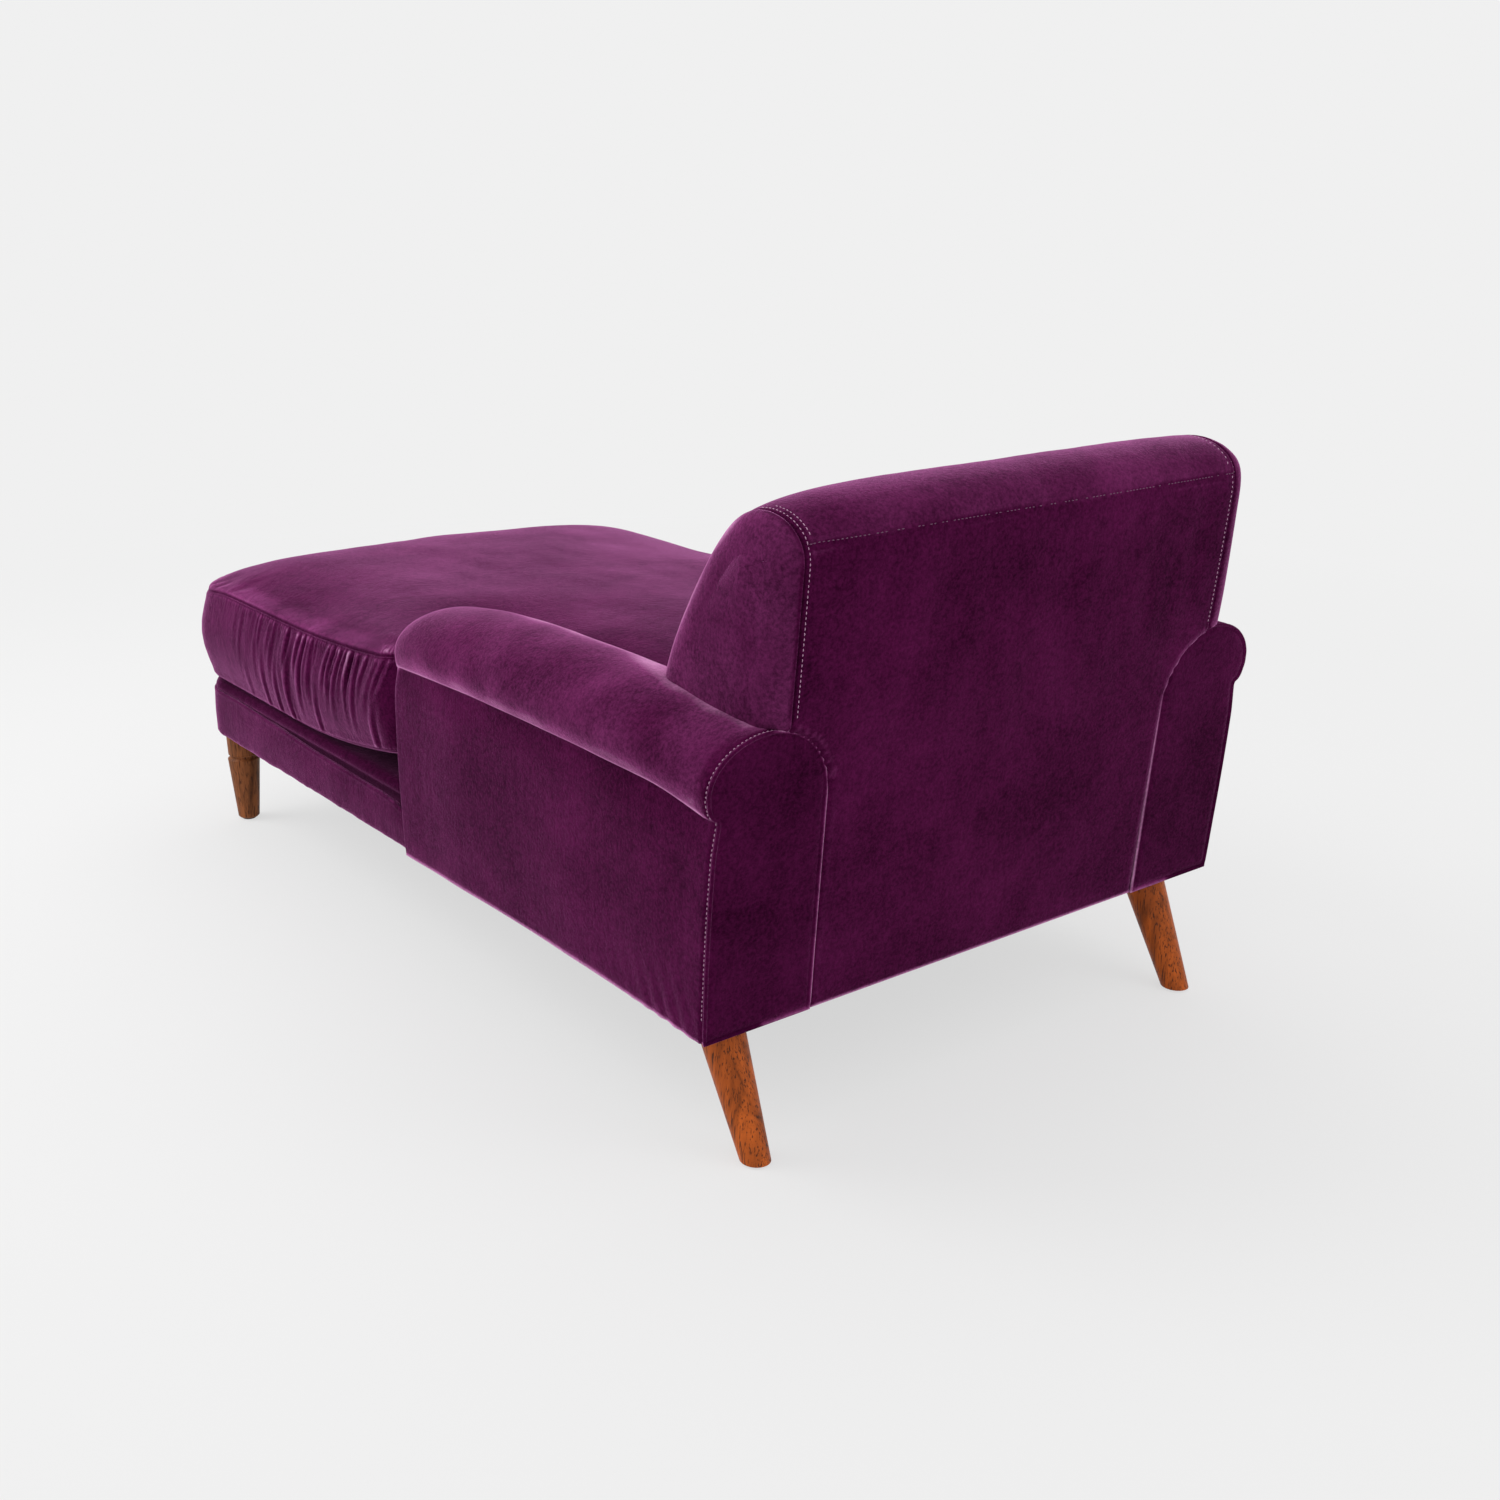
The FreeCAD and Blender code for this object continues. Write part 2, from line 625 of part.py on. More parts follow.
def back_middle(inset, z0):
    """Backrest between its two gusset seams, fullest at the middle."""
    wires = []
    for i in range(-BACK_STEPS, BACK_STEPS + 1):
        share = i / BACK_STEPS
        crown = BACK_CROWN * (1.0 - abs(share) ** 3)
        wires.append(back_wire(BACK_SEAM_X * share, crown, inset, z0))
    return Part.makeLoft(wires, True, False)


def back_dome(inset, z0):
    """Soft side of the backrest beyond the +X gusset seam, rounded like a pillow."""
    wires = []
    for i in range(BACK_STEPS):
        turn = math.radians(90.0 * i / (BACK_STEPS - 1))
        x = BACK_SEAM_X + (BACK_DOME - inset) * math.sin(turn)
        wires.append(back_wire(x, -BACK_DOME_EDGE * (1.0 - math.cos(turn)), inset, z0))
    return Part.makeLoft(wires, True, False)


def make_back():
    arm = arm_body(-ARM_GAP, 0.0).fuse(arm_shadow())
    arms = [mirrored(arm, side) for _, side in SIDES]
    low = LEG_HEIGHT - 30.0
    stuffing = back_middle(CLOTH, low)
    shell = back_middle(0.0, LEG_HEIGHT).cut(stuffing).cut(arms)
    dome = back_dome(CLOTH, BACK_DOME_BOTTOM)
    gusset = back_dome(0.0, BACK_DOME_BOTTOM).cut(dome).cut(arm)
    stuffing = stuffing.fuse([mirrored(dome, side) for _, side in SIDES]).cut(arms)
    outside = block(-FAR, FAR, REAR_Y - BACK_TURN_IN, FAR, 0.0, BACK_CROSS_SEAM)
    above_deck = block(-FAR, FAR, -FAR, FAR, DECK_TOP + 1.0, FAR)
    save("back_rear_cover", shell.common(outside))
    save("back_front_cover", shell.cut(outside).common(above_deck))
    for name, side in SIDES:
        save("back_gusset_" + name, mirrored(gusset, side))

    post_wide, post_deep = BACK_POST
    far = BACK_FRAME_GAP + post_deep
    strap_wide, strap_thick = STRAP
    room = rear_slab(BACK_FRAME_GAP - 0.5, far + 3.0 * strap_thick, RAIL_TOP)
    reach = BACK_POST_X + post_wide
    cavity = room.common(block(-reach - 1.0, reach + 1.0, -FAR, FAR, 0.0, BACK_FRAME_TOP + 1.0))
    pad = stuffing.cut(cavity).common(above_deck)
    save("back_pad", pad)

    frame = rear_slab(BACK_FRAME_GAP, far, RAIL_TOP)
    for name, side in SIDES:
        post = frame.common(block(BACK_POST_X, reach, -FAR, FAR, RAIL_TOP, BACK_FRAME_TOP))
        save("back_post_" + name, mirrored(post, side))
    heights = (("back_top_rail", BACK_FRAME_TOP - BACK_RAIL), ("back_lower_rail", BACK_LOWER_RAIL))
    for name, low in heights:
        rail = frame.common(block(-BACK_POST_X, BACK_POST_X, -FAR, FAR, low, low + BACK_RAIL))
        save(name, rail)

    level = rear_slab(far + FIT, far + strap_thick, RAIL_TOP)
    upright = rear_slab(far + strap_thick + FIT, far + 2.0 * strap_thick, RAIL_TOP)
    straps = []
    for i in range(STRAP_ROWS):
        z = STRAP_FIRST_Z + i * STRAP_STEP_Z
        straps.append(level.common(block(-reach, reach, -FAR, FAR, z, z + strap_wide)))
    low, high = BACK_LOWER_RAIL + STRAP_OVERLAP, BACK_FRAME_TOP - STRAP_OVERLAP
    for i in (-1, 0, 1):
        x0 = i * STRAP_STEP_X - strap_wide / 2.0
        straps.append(upright.common(block(x0, x0 + strap_wide, -FAR, FAR, low, high)))
    save("back_webbing", straps)


# Seat cushion

def cushion_levels():
    """Height and tuck-in of each outline, from the underside over the swelling sides to the top."""
    low, high = CUSHION_BOTTOM_SEAM, CUSHION_TOP_SEAM
    levels = []
    for i in range(CUSHION_STEPS):
        turn = math.radians(90.0 * (1.0 - i / CUSHION_STEPS))
        levels.append((low - CUSHION_UNDER[1] * math.sin(turn),
                       CUSHION_UNDER[0] * (1.0 - math.cos(turn))))
    for i in range(2 * CUSHION_STEPS):
        share = i / (2.0 * CUSHION_STEPS)
        levels.append((low + (high - low) * share, -CUSHION_SWELL * math.sin(math.pi * share)))
    for i in range(2 * CUSHION_STEPS + 1):
        turn = math.radians(90.0 * i / (2.0 * CUSHION_STEPS))
        levels.append((high + CUSHION_CROWN[1] * math.sin(turn),
                       CUSHION_CROWN[0] * (1.0 - math.cos(turn))))
    return levels


def cushion_body(inset):
    """Crowned T-shaped cushion, drawn in by inset all round."""
    levels = cushion_levels()
    lowest, highest = levels[0][0], levels[-1][0]
    squeeze = (highest - lowest - 2.0 * inset) / (highest - lowest)
    wires = []
    for z, tuck in levels:
        height = lowest + inset + (z - lowest) * squeeze
        wires.append(tee_wire(CUSHION_HALF, CUSHION_NECK, CUSHION_FOOT_Y, CUSHION_SHOULDER_Y,
                              CUSHION_REAR_Y, CUSHION_CORNERS, tuck + inset, height))
    return Part.makeLoft(wires, True, True)


def make_cushion():
    full = cushion_body(0.0)
    core = cushion_body(CLOTH)
    skin = full.cut(core)
    low, high = CUSHION_BOTTOM_SEAM, CUSHION_TOP_SEAM
    boxing = skin.common(block(-FAR, FAR, -FAR, FAR, low, high))
    zip_low = ZIP_Z - ZIP_HEIGHT / 2.0
    zip_room = block(-ZIP_HALF, ZIP_HALF, CUSHION_REAR_Y - CUSHION_SWELL, FAR,
                     zip_low, zip_low + ZIP_HEIGHT)
    save("cushion_core_foot", core.common(block(-FAR, FAR, -FAR, CUSHION_GLUE_LINE, 0.0, FAR)))
    save("cushion_core_seat", core.common(block(-FAR, FAR, CUSHION_GLUE_LINE, FAR, 0.0, FAR)))
    save("cushion_top_panel", skin.common(block(-FAR, FAR, -FAR, FAR, high, FAR)))
    save("cushion_bottom_panel", skin.common(block(-FAR, FAR, -FAR, FAR, 0.0, low)))
    save("cushion_boxing", boxing.cut(zip_room))
    save("cushion_zip", boxing.common(zip_room))


os.makedirs("parts", exist_ok=True)
make_base_frame()
make_legs()
make_springs()
make_deck()
make_base_upholstery()
make_dust_cover()
make_arms()
make_back()
make_cushion()
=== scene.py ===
import json
import math

import bpy
import numpy as np
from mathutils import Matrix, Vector
from mathutils import noise as perlin
from mathutils.bvhtree import BVHTree


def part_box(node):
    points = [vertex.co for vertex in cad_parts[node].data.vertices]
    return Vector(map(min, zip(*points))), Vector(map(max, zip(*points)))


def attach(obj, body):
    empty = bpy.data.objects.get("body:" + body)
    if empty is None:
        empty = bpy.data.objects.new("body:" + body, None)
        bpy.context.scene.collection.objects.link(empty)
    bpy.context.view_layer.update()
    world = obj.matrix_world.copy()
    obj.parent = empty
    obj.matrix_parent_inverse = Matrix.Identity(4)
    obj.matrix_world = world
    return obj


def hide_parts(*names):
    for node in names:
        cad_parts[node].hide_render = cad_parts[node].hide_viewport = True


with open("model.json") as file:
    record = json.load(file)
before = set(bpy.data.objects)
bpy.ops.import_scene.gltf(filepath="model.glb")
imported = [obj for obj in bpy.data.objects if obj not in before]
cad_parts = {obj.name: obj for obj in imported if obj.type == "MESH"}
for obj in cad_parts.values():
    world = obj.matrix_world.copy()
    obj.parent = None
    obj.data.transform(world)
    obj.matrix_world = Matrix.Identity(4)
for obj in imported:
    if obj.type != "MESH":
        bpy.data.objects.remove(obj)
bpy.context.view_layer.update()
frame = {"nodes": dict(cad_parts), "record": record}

bl_info = {
    "name": "Chaise longue",
    "version": (1, 0, 0),
    "blender": (4, 5, 0),
    "location": "3D View > Sidebar > Chaise",
    "description": "Dresses the frame of a velvet chaise longue: covers, cushion, seams and legs",
    "category": "Object",
}

# The piece stands in metres on the floor at Z 0. The sitter faces -Y and the left arm is at +X.
SIDES = (("left", 1.0), ("right", -1.0))

# Rear face, which leans back from its lower edge
UNDERSIDE_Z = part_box("arm_cover_left")[0].z
REAR_Y = 0.755
REAR_LEAN = math.tan(math.radians(5.47))

# Arms: stations along the arm give Y, top height, reach of the roll and height of its underside
ARM_INNER_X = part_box("arm_cover_left")[0].x
ARM_OUTER_X = 0.464
ARM_CREST_X = 0.390
ARM_STATIONS = (
    (0.000, 0.542, 0.465, 0.474),
    (0.045, 0.561, 0.475, 0.477),
    (0.150, 0.577, 0.483, 0.482),
    (0.330, 0.584, 0.485, 0.484),
    (0.590, 0.583, 0.485, 0.484),
    (0.690, 0.574, 0.482, 0.480),
    (0.792, 0.563, 0.477, 0.464),
)
ARM_SPINE = ((0.383, 0.250), (0.388, 0.490))
NECK_TUCK = 0.004
ARM_FRONT_Y = 0.023
ARM_REAR_Y = 0.785
NOSE_HEIGHTS = (0.440, 0.500)
SIDE_BELLY = 0.003
# How far an arm's side is up or down at its lower edge, and the heights where that fades in
ARM_HEM = ((0.0, 0.20, 0.50, 0.68, 0.76), (0.003, 0.005, 0.005, 0.0, -0.006))
HEM_HEIGHTS = (0.260, 0.190)
# Seam at an arm's rear edge: how far before the rear face, and how deep the valley is there
ARM_SEAM = ((0.030, 0.0), (0.020, 0.0), (0.014, 0.0), (0.011, 0.0), (0.009, 0.0010),
            (0.0075, 0.0018), (0.006, 0.0020), (0.0045, 0.0014), (0.003, 0.0004))
# Edge of the rear facing behind it: how far in, and how far out of the rear face
FACING_EDGE = ((0.0004, -0.0015), (0.0012, -0.0004), (0.0025, 0.0), (0.0042, -0.0006),
               (0.0058, -0.0020), (0.0080, -0.0016), (0.0120, -0.0006))

# Backrest: side outline at the gusset seam, as Y and Z
BACK_SEAM_X = 0.366
BACK_CROWN = 0.018
BACK_HEM_DROP = 0.0045
BACK_OUTLINE = (
    (0.820, 0.742), (0.8225, 0.764), (0.816, 0.780), (0.803, 0.794), (0.781, 0.8035),
    (0.756, 0.808), (0.731, 0.8055), (0.709, 0.797), (0.690, 0.7825), (0.666, 0.756),
    (0.647, 0.731), (0.621, 0.691), (0.600, 0.656), (0.580, 0.616), (0.568, 0.584),
)
BACK_SEAT = (0.566, 0.500)
BACK_HEM = ((0.566, 0.270), (0.600, 0.200))
BACK_SPINE = ((0.680, 0.320), (0.745, 0.745))
CROSS_SEAM_Z = 0.776
# Gussets: bulge at the top and at the seat, how far the bulge draws in, lift of the seam
BACK_GUSSETS = {"left": (0.027, 0.033, 0.046, 0.0), "right": (0.034, 0.042, 0.034, 0.014)}
# Valley beside the gusset seam: distance from the seam, and depth
BACK_VALLEY = ((0.0, 0.0016, 0.0032, 0.0050, 0.0075, 0.011, 0.016),
               (0.0026, 0.0010, 0.0, 0.0003, 0.0004, 0.0, 0.0))

# Base band round the foot end and the deck on it
BASE_HALF = 0.449
BASE_FOOT_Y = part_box("base_band_cover")[0].y
BASE_CORNER = 0.092
BAND_THICK = 0.015
# How far the band's upper seam comes down on its way to the arm
BAND_FALL = ((-0.62, -0.35, -0.10, -0.06, -0.03, 0.02), (0.0, 0.011, 0.014, 0.017, 0.025, 0.033))
DECK_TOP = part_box("deck_cover")[1].z
DECK_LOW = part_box("deck_cover")[0].z
DECK_ROUND = 0.016
DECK_INSET = 0.0035
DECK_REAR_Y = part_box("deck_cover")[1].y

# Steps along the middle line that a closed cover folds onto
SPINE_JOINTS = 12

# Seat cushion, T-shaped in plan
CUSHION_HALF = 0.450
CUSHION_NECK = 0.279
CUSHION_FOOT_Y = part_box("cushion_boxing")[0].y + 0.017
CUSHION_SHOULDER_Y = -0.022
CUSHION_REAR_Y = 0.518
CUSHION_CORNERS = (0.096, 0.050, 0.012, 0.040)
CUSHION_SEAMS = (0.2883, 0.453)
SEAM_REACH = 0.10
CUSHION_VOXEL = 0.007
COVER_THICKNESS = 0.0012
# How high the cushion is raised beside the arms, at its lower and its upper seam
CUSHION_LIFT = (0.045, 0.025)
# How far it sinks: on its right side, at its foot corners, at its foot and as a share of its crown
CUSHION_DROOP = (0.020, 0.010, 0.003, 0.20)
SEAM_TUBE = 0.0009
# Share of the gathers' height that is there before and that is added after the cloth simulation
GATHERS_BEFORE = 0.6
GATHERS_AFTER = 0.75
TOP_EASING = 60
TOP_LIFT = 0.003
CLOTH = {
    "quality": 6, "mass": 0.35, "use_pressure": True, "uniform_pressure_force": 1.6,
    "tension_stiffness": 15.0, "compression_stiffness": 15.0, "shear_stiffness": 6.0,
    "bending_stiffness": 0.5, "tension_damping": 12.0, "compression_damping": 12.0,
    "air_damping": 2.0, "vertex_group_mass": "seams", "vertex_group_shrink": "looser",
    "shrink_min": 0.0, "shrink_max": -0.09,
}
CLOTH_FRAMES = 18
CLOTH_REACH = 0.011

# Painted light: darker lower hems, painted shadow of the cushion on the deck, limits of what is
# stored
HEM_DARKENING = 0.6
DECK_PAINTED_SHADOW = -0.9
PAINTED_LIGHT_LIMITS = (-1.5, 2.0)

# Topstitching: how far before an arm's rear face, and beside a gusset's seam as name, where it
# starts in Y and Z, distance from the seam and seed
ARM_STITCH_GAP = 0.0068
GUSSET_ROWS = (("gusset", (0.735, 0.572), 0.0055, 12), ("crest", (0.748, 0.785), 0.0125, 13))
CROSS_STITCH_SKIP = 0.25

# Finishes of the inner pieces: name, colour, roughness, grain scale and depth, metal, stretch
FINISHES = {
    "frame_timber": ("beech_timber", (0.56, 0.40, 0.23), 0.7, 160.0, 0.0004, 0.0, (1.0, 0.1, 1.0)),
    "hardboard": ("brown_hardboard", (0.25, 0.15, 0.08), 0.6, 600.0, 0.0002),
    "foam": ("cream_foam", (0.78, 0.74, 0.60), 0.95, 500.0, 0.0006),
    "lining_cloth": ("black_lining", (0.014, 0.013, 0.015), 0.9, 900.0, 0.0003),
    "webbing": ("brown_webbing", (0.22, 0.15, 0.09), 0.85, 400.0, 0.0005),
    "zip_tape": ("plum_tape", (0.045, 0.006, 0.030), 0.8, 700.0, 0.0003),
    "zinc_steel": ("plated_steel", (0.60, 0.60, 0.62), 0.42, 300.0, 0.0001, 1.0),
    "glide_plastic": ("black_plastic", (0.03, 0.026, 0.025), 0.5, 400.0, 0.0001),
}
REAR_GRAIN_DEG = 21.4

# Camera and stage
CAMERA_AT = (1.604, 2.3109, 1.1944)
CAMERA_YAW = 3.8025
CAMERA_PITCH = 0.3242
CAMERA_LENS = 43.4
SENSOR_WIDTH = 36.0
VIEW_REACH = 60.0
FLOOR_SIZE = 60.0
WORLD_LIGHT = 0.75
# The floor turns into the plain backdrop colour from a share near the origin to all of it
BACKDROP_SHARE = 0.72
BACKDROP_REACH = (1.2, 3.2)
# Lamps: place, size and power
LAMPS = (
    ("key", (2.6, -2.2, 2.9), 2.6, 80.0),
    ("top", (-0.6, -0.6, 3.4), 3.0, 25.0),
    ("rear", (-1.6, 3.2, 2.4), 2.2, 18.0),
)
LAMP_AIM = Vector((0.0, 0.0, 0.4))


def settings():
    return bpy.context.scene.chaise


# Small helpers for points and meshes

def noise_at(points, size, seed=0.0):
    """Smooth noise from -1 to 1 at each point, with features of about the given size."""
    shift = Vector((seed * 7.31, seed * 3.17, seed * 5.73))
    return np.array([perlin.noise(Vector(p) / size + shift) for p in points])


def ramp(value, start, end):
    """0 before start, 1 after end, smooth between."""
    t = np.clip((np.asarray(value, float) - start) / (end - start), 0.0, 1.0)
    return t * t * (3.0 - 2.0 * t)


def near(value, centre, width):
    """Bell that is 1 at the centre and fades over the width."""
    return np.exp(-((np.asarray(value, float) - centre) / width) ** 2)


def line_points(start, end, count):
    """Points from start towards end, without the last one."""
    share = np.arange(count)[:, None] / count
    return np.array(start) * (1.0 - share) + np.array(end) * share


def ellipse_points(centre, half_width, half_height, from_deg, to_deg, count):
    """Points round part of an ellipse, without the last one."""
    turn = np.radians(from_deg + (to_deg - from_deg) * np.arange(count) / count)
    return np.column_stack([centre[0] + half_width * np.cos(turn),
                            centre[1] + half_height * np.sin(turn)])


def upright(flat, y):
    """Points of (x, z) set at their depths."""
    return np.column_stack([flat[:, 0], y, flat[:, 1]])


def at_height(flat, z):
    """Points of (x, y) set at one height."""
    return np.column_stack([flat, np.full(len(flat), z)])


def unit(vectors):
    """Each row at length 1."""
    return vectors / np.maximum(np.linalg.norm(vectors, axis=1)[:, None], 1e-9)


def even_path(points, step):
    """A polyline resampled to even steps, as points with about the given spacing."""
    points = np.asarray(points, float)
    runs = np.linalg.norm(np.diff(points, axis=0), axis=1)
    along = np.concatenate([[0.0], np.cumsum(runs)])
    wanted = np.linspace(0.0, along[-1], max(2, int(round(along[-1] / step)) + 1))
    return np.column_stack([np.interp(wanted, along, values) for values in points.T])


def softened(values, times):
    """Moving average that leaves the ends where they are."""
    values = np.array(values, float)
    for _ in range(times):
        values[1:-1] = (values[:-2] + 2.0 * values[1:-1] + values[2:]) / 4.0
    return values


def rounded(loop, times, above=None):
    """Closed loop with its corners eased, only above a height where one is given."""
    eased = loop
    for _ in range(times):
        eased = (np.roll(eased, 1, axis=0) + 2.0 * eased + np.roll(eased, -1, axis=0)) / 4.0
    if above is None:
        return eased
    keep = (loop[:, -1] < above)[:, None]
    return np.where(keep, 0.75 * loop + 0.25 * eased, eased)


def depth_inside(flat, loop):
    """How far each 2-D point lies inside a closed loop, 0 outside it."""
    nearest = np.full(len(flat), 1e9)
    inside = np.zeros(len(flat), bool)
    for a, b in zip(loop, np.roll(loop, -1, axis=0)):
        gap = np.linalg.norm(flat - nearest_on_segment(flat, a, b), axis=1)
        nearest = np.minimum(nearest, gap)
        if a[1] != b[1]:
            crosses = (flat[:, 1] > min(a[1], b[1])) & (flat[:, 1] <= max(a[1], b[1]))
            at = a[0] + (flat[:, 1] - a[1]) * (b[0] - a[0]) / (b[1] - a[1])
            inside ^= crosses & (flat[:, 0] < at)
    return np.where(inside, nearest, 0.0)


def loop_area(loop):
    """Area of a closed loop of 2-D points, positive where it runs anticlockwise."""
    after = np.roll(loop, -1, axis=0)
    return 0.5 * float(np.sum(loop[:, 0] * after[:, 1] - after[:, 0] * loop[:, 1]))


def inward_2d(loop):
    """Unit normals that point into a closed loop of 2-D points."""
    tangent = np.roll(loop, -1, axis=0) - np.roll(loop, 1, axis=0)
    normal = unit(np.column_stack([-tangent[:, 1], tangent[:, 0]]))
    return normal if loop_area(loop) > 0.0 else -normal


def nearest_on_segment(points, start, end, joints=None):
    """Nearest places on a line, or with joints the nearest of that many even steps along it."""
    start, end = np.array(start), np.array(end)
    run = end - start
    share = np.clip((points - start) @ run / (run @ run), 0.0, 1.0)
    if joints:
        share = np.round(share * joints) / joints
    return start + share[:, None] * run


def new_piece(name, points, faces):
    """Mesh object at the origin with smooth faces that point outwards."""
    mesh = bpy.data.meshes.new(name)
    mesh.from_pydata([tuple(p) for p in points], [], faces)
    piece = bpy.data.objects.new(name, mesh)
    bpy.context.scene.collection.objects.link(piece)
    edit(piece, merge=1e-5)
    mesh.polygons.foreach_set("use_smooth", [True] * len(mesh.polygons))
    return piece


def select_none():
    bpy.ops.object.select_all(action="DESELECT")


def select_only(piece):
    select_none()
    piece.select_set(True)
    bpy.context.view_layer.objects.active = piece


def edit(piece, merge=None):
    """Merge doubles and turn all faces outwards."""
    select_only(piece)
    bpy.ops.object.mode_set(mode="EDIT")
    bpy.ops.mesh.select_all(action="SELECT")
    if merge:
        bpy.ops.mesh.remove_doubles(threshold=merge)
    bpy.ops.mesh.normals_make_consistent(inside=False)
    bpy.ops.object.mode_set(mode="OBJECT")


def rings_piece(name, rings, closed=False):
    """Body through rings of equal count. The last one meets the first, or both fold onto a line."""
    rings = np.asarray(rings, float)
    count, size, _ = rings.shape
    faces = []
    for i in range(count if closed else count - 1):
        here, there = i * size, (i + 1) % count * size
        for j in range(size):
            k = (j + 1) % size
            faces.append((here + j, here + k, there + k, there + j))
    return new_piece(name, rings.reshape(-1, 3), faces)


def rows_of(items, key, size, kind=float):
    """One property of all vertices or edges, as a row for each."""
    values = np.zeros(len(items) * size, kind)
    items.foreach_get(key, values)
    return values.reshape(-1, size)


def points_of(piece):
    return rows_of(piece.data.vertices, "co", 3)


def normals_of(piece):
    return rows_of(piece.data.vertices, "normal", 3)


def set_points(piece, points):
    piece.data.vertices.foreach_set("co", np.asarray(points, float).ravel())
    piece.data.update()


def push(piece, heights):
    """Move each point along its normal."""
    set_points(piece, points_of(piece) + normals_of(piece) * np.asarray(heights)[:, None])


def edges_of(piece):
    return rows_of(piece.data.edges, "vertices", 2, int)


def averaged(values, edges):
    """Mean of each vertex's neighbours."""
    a, b = edges.T
    count = len(values)
    total = np.column_stack([np.bincount(a, row[b], count) + np.bincount(b, row[a], count)
                             for row in values.T])
    return total / np.maximum(np.bincount(edges.ravel(), minlength=count), 1.0)[:, None]


def paint_pile_light(piece, reach=5, scale=0.0016, extra=0.0, follow=1.0):
    """Store painted light at each point: above 0 a painted highlight, below 0 painted shade.

    The highlight is painted where the cover stands out of its surroundings by the scale or more
    and the shade where it sinks below them, as far as follow says, plus what extra says. It is
    darker along the lower hem.
    """
    points, edges = points_of(piece), edges_of(piece)
    blurred = points.copy()
    for _ in range(reach):
        blurred = 0.5 * blurred + 0.5 * averaged(blurred, edges)
    # Painted highlight where the cover stands out, painted shade where it sinks in
    painted_light = follow * np.sum((points - blurred) * normals_of(piece), axis=1) / scale
    # Darker along the lower hem, plus the piece's own painted highlight or shade
    painted_light = painted_light - HEM_DARKENING * ramp(points[:, 2], UNDERSIDE_Z + 0.012, UNDERSIDE_Z + 0.002) + extra
    field = piece.data.attributes.new("pile_wear", "FLOAT", "POINT")
    field.data.foreach_set("value", np.clip(painted_light, *PAINTED_LIGHT_LIMITS).astype(np.float32))


def apply_modifier(piece, modifier):
    select_only(piece)
    bpy.ops.object.modifier_apply(modifier=modifier.name)


def dress(piece, body, material, nodes=()):
    """Give a piece its finish, hang it on the body it rides on and hide the nodes it stands for."""
    piece.data.materials.clear()
    piece.data.materials.append(material)
    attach(piece, body)
    if nodes:
        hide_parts(*nodes)


# Materials

class Shader:
    """Node tree of one material, built step by step."""

    def __init__(self, name):
        self.material = bpy.data.materials.new(name)
        self.material.use_nodes = True
        self.tree = self.material.node_tree
        self.surface = self.tree.nodes["Principled BSDF"]

    def give(self, socket, value):
        """Link a socket to another node's output, or set its number, vector or colour."""
        if isinstance(value, bpy.types.NodeSocket):
            self.tree.links.new(value, socket)
        elif isinstance(value, float):
            socket.default_value = value
        else:
            socket.default_value = (*value, 1.0)[:len(socket.default_value)]

    def node(self, kind, inputs=None, **options):
        """New node with its options set and its inputs given."""
        made = self.tree.nodes.new(kind)
        for key, value in options.items():
            setattr(made, key, value)
        for key, value in (inputs or {}).items():
            self.give(made.inputs[key], value)
        return made

    def place(self, scale=(1.0, 1.0, 1.0), turn=(0.0, 0.0, 0.0)):
        inputs = {"Vector": self.node("ShaderNodeTexCoord").outputs["Object"],
                  "Scale": scale, "Rotation": turn}
        return self.node("ShaderNodeMapping", inputs).outputs["Vector"]

    def noise(self, vector, scale, detail=2.0, rough=0.5, distortion=0.0):
        inputs = {"Vector": vector, "Scale": scale, "Detail": detail, "Roughness": rough,
                  "Distortion": distortion}
        return self.node("ShaderNodeTexNoise", inputs).outputs["Fac"]

    def spread(self, value, low, high, to_low=0.0, to_high=1.0):
        inputs = {"Value": value, "From Min": low, "From Max": high, "To Min": to_low,
                  "To Max": to_high}
        return self.node("ShaderNodeMapRange", inputs, clamp=True).outputs["Result"]

    def math(self, operation, a, b):
        return self.node("ShaderNodeMath", {0: a, 1: b}, operation=operation).outputs["Value"]

    def mix(self, factor, a, b):
        return self.node("ShaderNodeMix", {0: factor, 6: a, 7: b}, data_type="RGBA").outputs[2]

    def bump(self, height, distance, strength, **normal):
        inputs = {"Height": height, "Distance": distance, "Strength": strength, **normal}
        return self.node("ShaderNodeBump", inputs).outputs["Normal"]

    def set(self, **values):
        """Give the surface's inputs, with _ for each space in their names."""
        for key, value in values.items():
            self.give(self.surface.inputs[key.replace("_", " ")], value)


def mix_shaders(tree, factor, first, second, output):
    """Show the first shader where the factor is 0 and the second one where it is 1."""
    mixer = tree.nodes.new("ShaderNodeMixShader")
    for socket, source in zip(mixer.inputs, (factor, first.outputs[0], second.outputs[0])):
        tree.links.new(source, socket)
    tree.links.new(mixer.outputs[0], output.inputs["Surface"])


def once(make):
    """Make each material the first time, and find it by its name after that."""
    return lambda name, *values, **options: (bpy.data.materials.get(name)
                                             or make(name, *values, **options))


